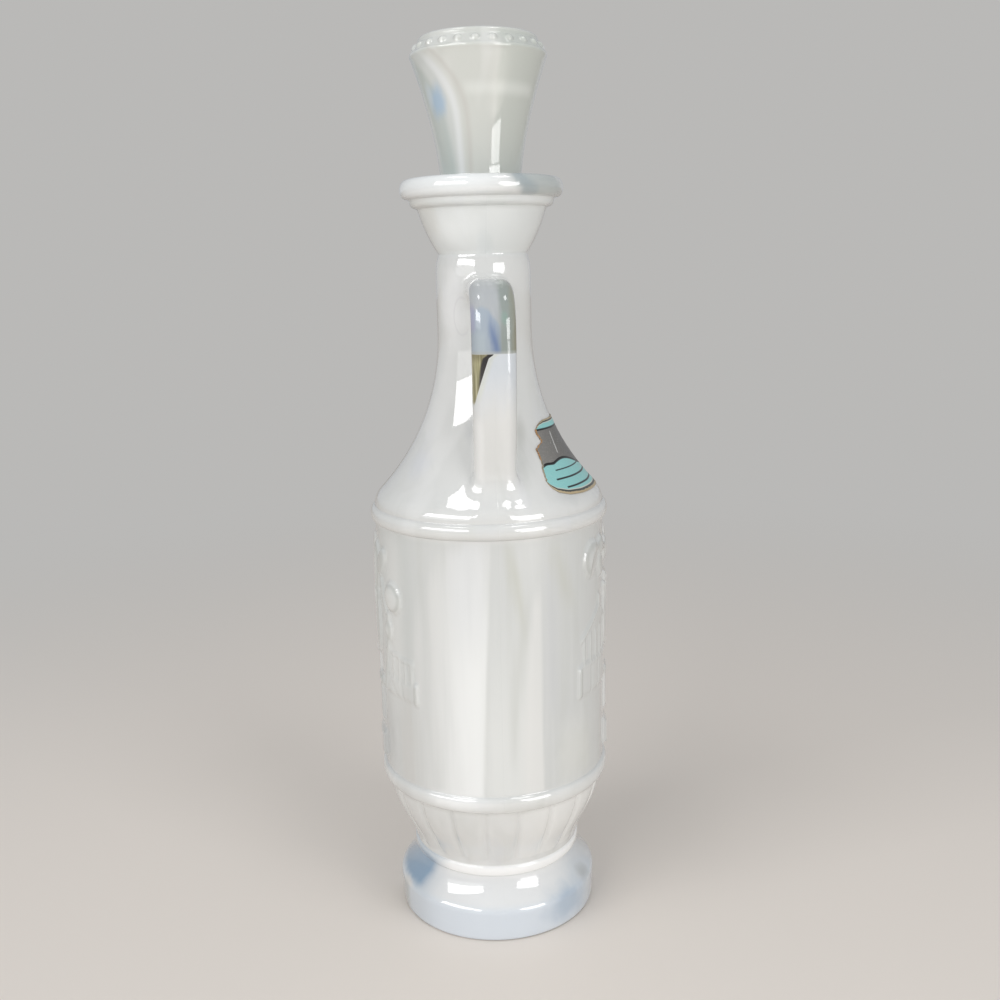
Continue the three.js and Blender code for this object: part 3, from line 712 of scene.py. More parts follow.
# %% Label
LABEL_MIDDLE = 90.0
LABEL_COLUMNS = 96
LABEL_ROWS = 44
FOIL_UNDER = 0.16
FOIL_TOP = 0.34
label_u = np.linspace(0, 1, LABEL_COLUMNS)
label_v = np.linspace(0, 1, LABEL_ROWS)


def along_points(points, share):
    """A polyline of azimuth and height, read at shares of its number of stretches."""
    points = np.array(points, float)
    at = share * (len(points) - 1)
    return np.stack([np.interp(at, np.arange(len(points)), points[:, k]) for k in (0, 1)], axis=-1)


def mirrored(half, middle):
    """Half an edge, its middle point, and the same half on the other side of the label."""
    return half + [middle] + [(2 * LABEL_MIDDLE - a, z) for a, z in half[::-1]]


corner, top_corner = (31.8, 177.4), (43.6, 197.2)
torn_edge = [corner, (31.3, 179.2), (32.6, 182.2), (33.8, 185), (34.0, 187.3), (33.4, 189.2),
             (36.6, 190.3), (42.4, 191.7), (40.6, 192.9), (38.9, 194.6), (39.8, 195.9), top_corner]
whole_edge = [corner, (31.5, 179.2), (32.4, 182.2), (33.6, 185), (34.9, 187.3), (36.2, 189.2),
              (37.4, 190.7), (38.5, 192), (39.5, 193.3), (40.5, 194.6), (41.8, 195.9), top_corner]
left_edge = along_points(torn_edge, label_v)
left_edge[1:-1, 0] += rng.normal(0, 0.45, LABEL_ROWS - 2)
right_edge = along_points(whole_edge, label_v) * (-1, 1) + (2 * LABEL_MIDDLE, 0)
half_foot = [corner, (33.2, 176), (36, 174.5), (43.1, 173.2), (53.5, 172.6), (70, 172.4)]
foot_edge = along_points(mirrored(half_foot, (90, 172.3)), label_u)
half_top = [top_corner, (48, 198.1), (54, 198.7), (65, 198.8), (78, 198.8)]
top_edge = along_points(mirrored(half_top, (90, 198.8)), label_u)
u, v = label_u[None, :, None], label_v[:, None, None]
sheet = ((1 - u) * left_edge[:, None] + u * right_edge[:, None] + (1 - v) * foot_edge[None]
         + v * top_edge[None] - (1 - u) * (1 - v) * left_edge[0] - u * (1 - v) * right_edge[0]
         - (1 - u) * v * left_edge[-1] - u * v * right_edge[-1])
label_azimuth = np.radians(sheet[..., 0])
flat_points = turned(body_radius(sheet[..., 1]), label_azimuth, sheet[..., 1])
normals = body_normal(flat_points)
cockle = 0.05 * np.sin(label_azimuth * 23 + sheet[..., 1]) * np.sin(sheet[..., 1] * 1.3)
label_skin = Skin()
top_sheet = label_skin.add(flat_points + normals * (FOIL_TOP + cockle)[..., None])
under_sheet = label_skin.add(flat_points + normals * (FOIL_UNDER + cockle)[..., None])
label_skin.weave(top_sheet, around=False)
label_skin.weave(under_sheet[:, ::-1], around=False)
label_skin.weave(np.stack([outline(under_sheet), outline(top_sheet)]))
label_uv = np.stack(np.broadcast_arrays(label_u[None], label_v[:, None]), axis=-1).reshape(-1, 2)
foil_label = label_skin.piece("shoulder_label", np.concatenate([label_uv, label_uv]))
step = np.linalg.norm(np.diff(flat_points, axis=1), axis=-1)
rise = np.linalg.norm(np.diff(flat_points, axis=0), axis=-1)
print("label flat size", step.sum(1).max().round(1), rise.sum(0).max().round(1))

# %% [markdown]
# Shader maths reads best as formulas. A Wire holds a socket, and its operators add the Math nodes.
# Any other node comes from one method, which sets the node's own settings before its sockets.

# %% Shader wires
class Wire:
    """A socket of a material's node tree that Python operators work on. Without a socket it only
    adds nodes to its tree."""

    def __init__(self, tree, socket=None):
        self.tree = tree
        self.socket = socket

    def make(self, kind, sockets, settings=None, output=0):
        """Adds a node, sets its settings, fills its sockets by name or number, returns an output."""
        node = self.tree.nodes.new(kind)
        for name, value in (settings or {}).items():
            setattr(node, name, value)
        for name, value in sockets.items():
            if isinstance(value, Wire):
                self.tree.links.new(value.socket, node.inputs[name])
            else:
                node.inputs[name].default_value = value
        return Wire(self.tree, node.outputs[output])

    def maths(self, operation, a, b=0.0):
        """A Math node on two values, each a wire or a number."""
        return self.make("ShaderNodeMath", {0: a, 1: b}, {"operation": operation})

    def __add__(self, other):
        return self.maths("ADD", self, other)

    def __sub__(self, other):
        return self.maths("SUBTRACT", self, other)

    def __rsub__(self, other):
        return self.maths("SUBTRACT", other, self)

    def __mul__(self, other):
        return self.maths("MULTIPLY", self, other)

    def __truediv__(self, other):
        return self.maths("DIVIDE", self, other)

    def __abs__(self):
        return self.maths("ABSOLUTE", self)

    __radd__ = __add__
    __rmul__ = __mul__

    def over(self, low):
        """How far this lies above low, and 0 where it doesn't."""
        return (self - low).either(0.0)

    def either(self, other):
        """The larger of two masks."""
        return self.maths("MAXIMUM", self, other)

    def eased(self, low, high):
        """0 at low and 1 at high with a smooth step between; low may lie above high."""
        return self.make("ShaderNodeMapRange", {"Value": self, "From Min": low, "From Max": high},
                         {"interpolation_type": "SMOOTHSTEP"})

    def between(self, low, high, soft):
        """1 from low to high, and 0 beyond a soft edge."""
        return self.eased(low - soft, low + soft) * self.eased(high + soft, high - soft)

    def paint(self, under, over, label=""):
        """The colour under, covered by the colour over where this mask is 1."""
        under = under if isinstance(under, Wire) else (*under, 1)
        over = over if isinstance(over, Wire) else (*over, 1)
        settings = {"data_type": "RGBA", "label": label}
        return self.make("ShaderNodeMix", {0: self, 6: under, 7: over}, settings, 2)

    def bump(self, strength):
        """The normal of a skin that this many millimetres are added to."""
        return self.make("ShaderNodeBump", {"Height": self, "Strength": strength, "Distance": MM})

    def into(self, node, name):
        """Feeds a node's socket."""
        self.tree.links.new(self.socket, node.inputs[name])

    def vector(self, operation, other):
        """A Vector Math node on this wire and another, or three numbers."""
        return self.make("ShaderNodeVectorMath", {0: self, 1: other}, {"operation": operation})

    def length(self):
        """The length of this vector."""
        return self.make("ShaderNodeVectorMath", {0: self}, {"operation": "LENGTH"}, 1)

    def axis(self, number):
        """One of the three numbers of this vector."""
        return self.make("ShaderNodeSeparateXYZ", {0: self}, output=number)

    def noise(self, stretch, detail=2.0, seed=0.0, roughness=0.5):
        """Smooth noise of this place, whose features are stretch = (x, y, z) millimetres long."""
        scaled = self.vector("DIVIDE", stretch).vector("ADD", (seed, seed * 1.7, seed * 0.6))
        return scaled.make("ShaderNodeTexNoise", {"Vector": scaled, "Scale": 1.0, "Detail": detail,
                                                  "Roughness": roughness})

    def patch(self, centre, size, soft=0.5, wobble=0.0):
        """1 inside an oval round centre, easing to 0 over the outer share soft of its radius."""
        away = self.vector("SUBTRACT", centre).vector("DIVIDE", size).length()
        return (away + wobble).eased(1.0, 1.0 - soft)


def new_material(name, **constants):
    """A material with a Principled BSDF, its constants set on the shader's own sockets. Returns
    the material, its shader node, and a wire with the place in millimetres."""
    material = bpy.data.materials.new(name)
    material.use_nodes = True
    tree = material.node_tree
    shader = tree.nodes["Principled BSDF"]
    for socket, value in constants.items():
        shader.inputs[socket.replace("_", " ")].default_value = value
    metres = Wire(tree).make("ShaderNodeTexCoord", {}, output="Object")
    return material, shader, metres.vector("MULTIPLY", (1 / MM, 1 / MM, 1 / MM))


def coats(colour, marks, area=None):
    """Lays marks over the colour in turn. Each has a name for its node, a mask, a strength and a
    tone. With an area, every mark stays inside it."""
    for name, mask, strength, tone in marks:
        mask = mask if area is None else area * mask
        colour = (mask * strength).paint(colour, tone, name)
    return colour


# %% [markdown]
# Slag glass is two or three glasses stirred together and pressed before they have mixed. The body
# of it is a grey milk. Whiter glass rose through it in flames, and between them run faint warm,
# green and lavender veils, all drawn out along the bottle as the gather flowed down the mould. The
# veils are noise stretched along the axis and bent by slower noise. They are strongest on the far
# side, because on the near side the flames and marks that the real bottle shows are set one by one,
# by their azimuth and height.

# %% Slag glass: palette
GREY_MILK = (0.70, 0.705, 0.69)
STOPPER_MILK = (0.62, 0.635, 0.60)
WHITE_MILK = (0.86, 0.86, 0.85)
WARM_VEIL = (0.60, 0.605, 0.56)
GREEN_VEIL = (0.50, 0.53, 0.48)
BROWN_VEIL = (0.62, 0.585, 0.55)
LAVENDER = (0.64, 0.655, 0.73)
GLASS = dict(IOR=1.52, Coat_Weight=1.0, Coat_IOR=1.6, Coat_Roughness=0.03,
             Subsurface_Weight=0.2, Subsurface_Scale=0.0015, Subsurface_Radius=(1, 1, 1))


def azimuth_of(place):
    """Degrees round the bottle, 0 on the handle's side and growing to the right of it."""
    x, y = place.axis(0), place.axis(1)
    return x.maths("ARCTAN2", x, 0 - y) * math.degrees(1)


def veils(place, seed, milk):
    """Milk with white, warm, green and lavender veils, which are weaker on the near side."""
    bend = place.make("ShaderNodeTexNoise", {
        "Vector": place.vector("DIVIDE", (30, 30, 80)).vector("ADD", (seed, 3, seed)),
        "Scale": 1.0, "Detail": 2.0}, output=1)
    bent = place.vector("ADD", bend.vector("MULTIPLY", (34, 34, 60)))
    strength = place.axis(1).eased(-12, 16) * 0.65 + 0.35
    return coats(milk, (
        ("white veil", bent.noise((17, 17, 150), 2, seed + 12).eased(0.48, 0.66), 0.7, WHITE_MILK),
        ("warm veil", bent.noise((11, 11, 120), 3, seed + 2).eased(0.50, 0.70), 0.5, WARM_VEIL),
        ("green veil", bent.noise((8, 8, 90), 3, seed + 5).eased(0.56, 0.74), 0.4, GREEN_VEIL),
        ("lavender veil", bent.noise((14, 14, 100), 2, seed + 9).eased(0.52, 0.76), 0.5, LAVENDER),
    ), strength)


def polish(shader, place, seam=None):
    """Fire-polished skin: a very fine roughness with faint smears, a slow orange peel, and where
    the mould's halves met a thin raised line in the handle's plane."""
    smear = place.noise((6, 6, 14), 4, 3.3, 0.6).eased(0.45, 0.75)
    height = place.noise((5, 5, 7), 3, 8.1) * 0.035
    if seam is not None:
        height = height + seam * 0.06
    (0.055 + 0.05 * smear).into(shader, "Roughness")
    height.bump(0.35).into(shader, "Normal")


# %% [markdown]
# The barrel's front has two white flames with sharp right edges, the broad one left of the
# handle's plane and a slim one right of it, and grey, brownish and olive streaks between them. Each
# mark is a band of azimuth whose edges move with the height.

# %% Slag glass: marks of the barrel
def barrel_marks(colour, place, turn, z, fray):
    """Paints the flames and streaks of the barrel's front over the colour. Soft streaks along the
    bottle thin some marks out here and there, as in glass that was drawn."""
    near = z.eased(61, 64) * z.eased(162, 158) * turn.between(-85, 75, 8)
    fine = place.noise((3.6, 3.6, 60), 3, 17.0)
    streaky = 0.6 + fine.eased(0.36, 0.62) * 0.4
    frayed = turn + fray * 2
    rise = z.over(113) / 46
    left = rise * rise * 25 - 46
    right = (z - 66) * 0.061 - 9.8
    broad = (turn + fray * 5 - left).eased(-6, 9) * (right - turn + fray * 0.5).eased(-1.2, 1.2)
    core = broad * (turn + fray * 4).eased(-38, -14) * (z + fray * 12).eased(172, 96)
    stripe = (frayed - (158.5 - z) * 0.2).between(2.8, 6.6, 3.0) * z.between(126, 158, 12)
    rise = z.over(62) / 78
    beside = frayed - (rise * rise * rise * 8 + 9.5)
    slim = beside.eased(-2.2, 3.0) * (20.3 - turn + fray).eased(-1.0, 1.4) * z.eased(148, 132)
    slim = slim * (0.55 + z.eased(130, 84) * 0.35)
    leaning = (turn + fray * 4 - (153 - z) * 0.35).between(27, 33, 5)
    return coats(colour, (
        ("ground", 1, 0.85, (0.605, 0.62, 0.608)),
        ("pale streaks", fine.eased(0.50, 0.72), 0.25, (0.70, 0.705, 0.70)),
        ("dark streaks", fine.eased(0.46, 0.30), 0.2, (0.55, 0.56, 0.53)),
        ("slate", frayed.between(-95, -44, 8) * z.between(104, 172, 16), 0.5, (0.59, 0.615, 0.60)),
        ("pale edge", frayed.between(-67, -54, 6) * z.between(98, 156, 18), 0.7,
         (0.74, 0.745, 0.725)),
        ("brown edge", frayed.between(-57, -45, 5) * (z + fray * 10).eased(108, 82) * streaky, 0.45,
         BROWN_VEIL),
        ("broad flame", broad * streaky, 0.8, (0.70, 0.705, 0.69)),
        ("its white core", core, 0.9, (0.855, 0.865, 0.855)),
        ("its cool top", broad * frayed.between(-24, -7, 6) * z.eased(108, 140), 0.4,
         (0.715, 0.73, 0.75)),
        # Painted light: the front is painted paler towards the barrel's foot, as light from the
        # floor.
        ("painted bounce light", (turn + fray * 3).between(-9, 13, 5) * z.eased(150, 78), 0.75,
         (0.76, 0.77, 0.75)),
        ("olive stripe", stripe, 0.5, (0.50, 0.505, 0.42)),
        ("dark beside", beside.between(-6, -1.5, 2.5) * z.between(76, 136, 14), 0.45,
         (0.56, 0.57, 0.54)),
        ("slim flame", slim, 1, (0.755, 0.755, 0.735)),
        ("cool right", (turn + fray * 1.5).between(21.5, 29, 4.0) * z.between(96, 150, 16), 0.3,
         (0.57, 0.58, 0.61)),
        ("olive top", leaning * z.between(134, 156, 9), 0.4, (0.52, 0.52, 0.43)),
        ("olive foot", (turn + fray * 3).between(30, 52, 8) * z.between(66, 82, 6), 0.25,
         (0.55, 0.56, 0.47)),
    ), near)


# %% [markdown]
# The handle was filled from both ends. At its knit, level with 226 mm, two glasses met without
# mixing: above is clear grey-blue glass with a hazy top, a deep blue streak and an olive edge, and
# below is milk with a wedge of olive and nearly black glass at its left.

# %% Slag glass: marks of the strap handle
def strap_marks(colour, place, x, y, z):
    """Paints the two stretches of the strap over the colour, and the line of its knit."""
    knit = z.eased(225.9, 226.1)
    haze = (place.noise((3, 9, 14), 3, 31.0) - 0.5) * 2
    hazy = x + haze
    streaked = x + haze * 1.5
    bow = x + 4.6
    top = (z - 241.6 + bow * bow * 0.16 + haze * 1.5).eased(-0.8, 1.2)
    vein = (x + haze * 1.8 + (z - 228) * 0.14).between(-0.6, 1.7, 1.2) * z.eased(242, 231)
    teal = place.patch((3.6, -45, 238), (1.6, 6, 3.2), 0.8, haze * 0.3)
    colour = coats(colour, (
        ("clear glass", 1, 1, (0.375, 0.43, 0.49)),
        ("hazy top", top, 1, (0.44, 0.46, 0.475)),
        ("its pale haze", top * (haze * 1.6).eased(0.0, 0.8), 0.6, (0.52, 0.54, 0.55)),
        ("green side", streaked.eased(0.3, 3.0), 1, (0.285, 0.32, 0.30)),
        ("olive side", streaked.eased(4.8, 7.0), 1, (0.30, 0.305, 0.235)),
        ("dark olive edge", hazy.eased(6.2, 7.6) * z.eased(243, 235), 1, (0.19, 0.185, 0.11)),
        ("teal spot", teal, 0.5, (0.25, 0.38, 0.33)),
        ("violet edge", hazy.eased(-5.6, -7.0) * z.between(233.5, 242, 1.5), 0.7,
         (0.36, 0.36, 0.50)),
        ("blue vein", vein, 0.85, (0.135, 0.20, 0.36)),
        ("pale left", hazy.between(-6.6, -3.0, 1.2) * z.eased(236, 231), 0.5, (0.46, 0.52, 0.54)),
        ("grey end", z.eased(227.4, 226.4), 0.6, (0.42, 0.44, 0.43)),
    ), y.eased(-19, -31) * knit * z.eased(256, 254))

    strap = y.eased(-24, -27) * z.eased(176, 186) * z.eased(256, 254)
    rise = z.over(208.5) / 17.5
    edge = rise.maths("POWER", rise, 1.15) * 5.4 - 7.1 + z.eased(224.4, 225.9) * 1.2
    slant = x - edge
    wedge = slant.eased(0.12, -0.12) * z.eased(208, 210)
    lines = place.noise((0.55, 3, 26), 3, 12.0)
    brink = (slant + z.eased(213, 224) * 1.8 + 0.2).eased(-0.5, 0.4) * z.eased(212, 217)
    colour = coats(colour, (
        ("blue cast", (z + haze * 4).eased(200, 222), 0.75, (0.60, 0.645, 0.70)),
        ("white foot", hazy.between(-7.6, -4.6, 1.0) * z.eased(206, 200), 0.4, WHITE_MILK),
        ("glow by the wedge", slant.between(0.0, 1.6, 1.0) * z.eased(206, 214), 0.5,
         (0.62, 0.63, 0.52)),
        ("olive wedge", wedge, 1, (0.41, 0.385, 0.225)),
        ("its dark lines", wedge * lines.eased(0.46, 0.60), 0.8, (0.20, 0.185, 0.085)),
        ("its pale lines", wedge * lines.eased(0.42, 0.36), 0.6, (0.50, 0.47, 0.33)),
        ("its brown top", wedge * z.eased(222.5, 225.5), 0.6, (0.16, 0.14, 0.08)),
        ("its black brink", wedge * brink, 1, (0.012, 0.011, 0.012)),
    ), strap * (1 - knit))
    return (strap * z.between(225.85, 226.2, 0.1) * 0.35).paint(colour, (0.60, 0.61, 0.60), "knit")


# %% [markdown]
# The foot was pressed last and from the coldest end of the gather. Its slope is milky in front, and
# clear blue glass reached the skin on its left and, softer, on its right.

# %% Slag glass: marks of the foot
def foot_marks(colour, place, turn, z, fray, edge):
    """Paints the foot's blue wedge and casts, the white ring over it, and its smoky left end."""
    foot = z.eased(24.2, 23.2)
    ring = z.between(23.6, 28.2, 0.5)
    frayed = turn + fray * 2
    sides = (foot * frayed.eased(34, 62)).either(foot * (turn + fray * 3).eased(-36, -60))
    wedge = (turn + edge * 12 + (z - 15) * -0.6).between(-128, -56, 5.5)
    wedge = wedge * (z + edge * 4).between(14.0, 26, 1.6)
    return coats(colour, (
        ("milky slope", foot, 0.75, (0.79, 0.80, 0.805)),
        ("blue wall", z.eased(15, 11), 0.85, (0.645, 0.705, 0.775)),
        ("slate sides", sides, 0.6, (0.52, 0.57, 0.62)),
        # The waist ring is white glass, painted whiter still as the highlight that covers it.
        ("white ring and painted highlight", ring * turn.eased(-58, -34) * turn.eased(178, 110), 0.95, (0.96, 0.96, 0.95)),
        ("its blue left", ring * turn.between(-100, -44, 8), 0.6, (0.52, 0.60, 0.68)),
        ("blue wedge", wedge, 0.95, (0.24, 0.35, 0.475)),
        ("beige spot", place.patch((-37.4, -13.5, 12.6), (4, 6.5, 2.2), 0.7, edge), 0.9,
         (0.66, 0.65, 0.63)),
        ("smoky end", frayed.between(-98, -70, 3) * z.eased(13, 10.5), 0.75, (0.37, 0.385, 0.37)),
        ("blue right", place.patch((25, -29, 9.5), (15, 15, 10.5), 0.85, edge), 0.75,
         (0.37, 0.465, 0.575)),
        ("grey right", place.patch((34, -19, 15), (6, 7, 5), 0.9, edge), 0.7, (0.42, 0.43, 0.43)),
    ))


# %% [markdown]
# Over the barrel the glass is paler and calmer, with large soft patches, a faint ring left of the
# handle that is the handle's painted reflection in the neck, a milky bell and a lip whose right
# side is slate. A patch also tints the ends of the barrel and the lower bead here and there, and
# the two patches beside the strap's lower part are painted shade.

# %% Slag glass: patches, neck and lip
PATCHES = (
    ("lavender shoulder", (-25, -16, 183), (9, 10, 8), 0.5, (0.66, 0.68, 0.73)),
    ("white bell", (-11, -16, 269), (12, 12, 9), 0.95, (0.93, 0.935, 0.925)),
    ("white neck", (-13, -12, 240), (10, 10, 20), 0.8, (0.86, 0.865, 0.865)),
    ("grey bead", (-33, -20, 58), (13, 16, 5), 0.7, (0.56, 0.565, 0.56)),
    ("white bead", (-18, -41, 60), (20, 12, 5), 0.8, (0.87, 0.875, 0.87)),
    ("pale barrel foot", (27, -34, 74), (12, 16, 24), 0.5, (0.75, 0.755, 0.73)),
    ("slate barrel foot", (-43, -10, 76), (8, 22, 22), 0.6, (0.50, 0.51, 0.51)),
    # Painted shadow: the olive-grey patch right of the strap is the shade between strap and shoulder.
    ("painted shadow right of the strap", (10.5, -23.5, 195), (3.6, 7, 13), 0.5, (0.46, 0.465, 0.43)),
    ("grey shoulder", (28, -30, 175), (14, 14, 8), 0.75, (0.58, 0.59, 0.58)),
    ("shade by the strap", (-8, -24.5, 199), (3.5, 5, 10), 0.35, (0.58, 0.585, 0.60)),
)


def upper_marks(colour, place, turn, z, fray, edge):
    """Paints the bowl's right, the patches, the handle's painted reflection, bell and lip."""
    bowl = z.between(30.5, 55.5, 0.8) * turn.between(12, 80, 12)
    colour = (bowl * 0.7).paint(colour, (0.84, 0.84, 0.82), "bowl")
    colour = coats(colour, [(name, place.patch(centre, size, 0.9, edge), strength, tone)
                            for name, centre, size, strength, tone in PATCHES])
    # Painted reflection: a faint darker ring on the neck left of the strap is the handle's
    # reflection.
    painted_reflection_ring = place.vector("SUBTRACT", (-9, -15, 237.6)).vector("DIVIDE", (3.4, 9, 7.5)).length()
    painted_reflection_ring = (painted_reflection_ring + fray * 0.1).between(0.86, 0.94, 0.09) * turn.eased(-20, -27)
    lip = z.eased(278.6, 279.6)
    slanted = turn + fray * 4 + (z - 283) * 1.5
    slate = lip * slanted.between(20, 66, 7)
    tan = z.between(266, 279, 3) * (turn + fray * 3).between(-78, -50, 7)
    return coats(colour, (
        ("painted_reflection_ring", painted_reflection_ring, 0.35, (0.56, 0.55, 0.58)),
        ("pale lip", lip * turn.between(-130, 10, 30), 0.8, (0.84, 0.865, 0.87)),
        ("slate lip", slate, 0.9, (0.43, 0.465, 0.455)),
        ("its blue end", slate * slanted.between(20, 33, 4), 0.6, (0.31, 0.365, 0.395)),
        ("milky bell", z.between(259, 279, 1.5) * turn.between(-95, 80, 10), 0.55,
         (0.76, 0.80, 0.80)),
        ("tan streak", tan, 0.25, (0.64, 0.61, 0.54)),
    ))


# %% [markdown]
# On the real bottle all of these lie in one glass, so one material carries them, laid over each
# other from the veils to the strap. Separate materials for its parts would meet in hard seams.

# %% Slag glass of the bottle
def bottle_glass():
    """Veils over the whole bottle, and over them the marks of its parts. The flanks of the pressed
    scene, which stand out from the barrel but not so far as its tops, are painted darker as shade."""
    material, shader, place = new_material("slag_glass_bottle", **GLASS)
    x, y, z = (place.axis(k) for k in range(3))
    turn = azimuth_of(place)
    fray = (place.noise((5, 5, 55), 3, 6.0) - 0.5) * 3.4
    edge = (place.noise((9, 9, 12), 3, 21.0) - 0.5) * 0.9
    colour = veils(place, 1.0, GREY_MILK)
    colour = barrel_marks(colour, place, turn, z, fray)
    radius = place.vector("MULTIPLY", (1, 1, 0)).length()
    # Painted shade: the relief's flanks, 44.9 to 45.4 mm from the axis, are painted darker as their
    # shade.
    painted_flank_shade = radius.between(44.9, 45.4, 0.2) * z.eased(63, 66) * z.eased(160, 157)
    colour = (painted_flank_shade * 0.4).paint(colour, (0.38, 0.39, 0.36), "painted shade on relief flanks")
    colour = foot_marks(colour, place, turn, z, fray, edge)
    colour = upper_marks(colour, place, turn, z, fray, edge)
    colour = strap_marks(colour, place, x, y, z)
    polish(shader, place, abs(x).eased(0.35, 0.0))
    colour.into(shader, "Base Color")
    return material


# %% [markdown]
# The stopper was pressed from another gather of the same glass. It could wear the bottle's
# material, but its swirls run another way, so it gets the same veils and polish in a duller milk,
# and marks of its own.

# %% Slag glass of the stopper
def stopper_glass():
    """The stopper is greyer and greener. On its left a teal streak, a blue place, a blue-white
    ribbon and a thin brown line run side by side, leaning over towards the rim."""
    material, shader, place = new_material("slag_glass_stopper", **GLASS)
    z = place.axis(2)
    turn = azimuth_of(place)
    fray = (place.noise((6, 6, 30), 3, 5.0) - 0.5) * 4
    edge = (place.noise((6, 6, 14), 3, 5.0) - 0.5) * 0.8
    lean = z.over(306) / 20
    line = turn + lean * lean * 24 + fray * 1.2
    colour = coats(veils(place, 14.0, STOPPER_MILK), (
        ("dull right", (turn + fray).between(14, 70, 3) * z.eased(334.8, 333), 1,
         (0.555, 0.58, 0.54)),
        ("cool left", line.between(-50, -32, 7) * z.eased(334, 328), 0.35, (0.60, 0.65, 0.66)),
        ("teal streak", (line + z * 0.25 - 76.5).between(-74, -45, 6) * z.eased(334, 327), 0.6,
         (0.45, 0.515, 0.495)),
        ("blue place", place.patch((-15.6, -11.6, 312), (5.0, 6.5, 8.5), 0.7, edge), 0.9,
         (0.40, 0.53, 0.67)),
        ("its light", place.patch((-17.8, -8.4, 314.5), (3.0, 4, 8), 0.8, edge), 0.6,
         (0.60, 0.67, 0.71)),
        ("ribbon", line.between(-34.5, -26, 4.0) * z.eased(331, 322), 0.7, (0.78, 0.80, 0.81)),
        ("brown line", line.between(-20, -15, 3.5) * z.eased(334, 326), 0.45, (0.53, 0.51, 0.475)),
        # Painted reflection: a pale band round the flare, 313 to 317 mm up, is painted as colour.
        ("painted reflection band", (z + edge).between(313.2, 316.8, 1.8) * turn.between(-18, 60, 8), 0.5,
         (0.76, 0.78, 0.745)),
    ))
    polish(shader, place)
    colour.into(shader, "Base Color")
    return material


# %% [markdown]
# Cork is a pale brown bark of tiny cells with dark pores, and it doesn't shine.

# %% Cork
def cork_bark():
    """Fine cells, slow patches of tone, and dark flecks where pores were cut."""
    material, shader, place = new_material("cork_bark", IOR=1.4)
    cells = place.noise((0.5, 0.5, 0.4), 3, 2.0)
    tone = place.noise((4, 4, 3), 3, 9.0)
    flecks = place.noise((1.6, 1.6, 0.7), 2, 4.0).eased(0.60, 0.70)
    colour = coats((0.50, 0.31, 0.15), (
        ("slow patches", tone.eased(0.35, 0.65), 1, (0.62, 0.42, 0.23)),
        ("cells", cells.eased(0.4, 0.7), 0.35, (0.36, 0.21, 0.10)),
        ("pores", flecks, 0.85, (0.13, 0.07, 0.035)),
    ))
    colour.into(shader, "Base Color")
    (0.75 + 0.15 * cells).into(shader, "Roughness")
    (cells * 0.12 + (1 - flecks) * 0.25).bump(0.6).into(shader, "Normal")
    return material


# %% [markdown]
# The label is printed foil. A turquoise field fills its lower part under a black wavy rule, a
# turquoise strip its top over a straight one, and a silvery grey band lies between them. Three
# plain rules lie in the field, and a dark rule and a tan edge run round the whole. Where its left
# edge tore, the brown paper shows. A picture could carry the print, but formulas stay sharp at any
# size. The print is set by azimuth and height on the bottle, and only the edge follows the sheet's
# own UV map.

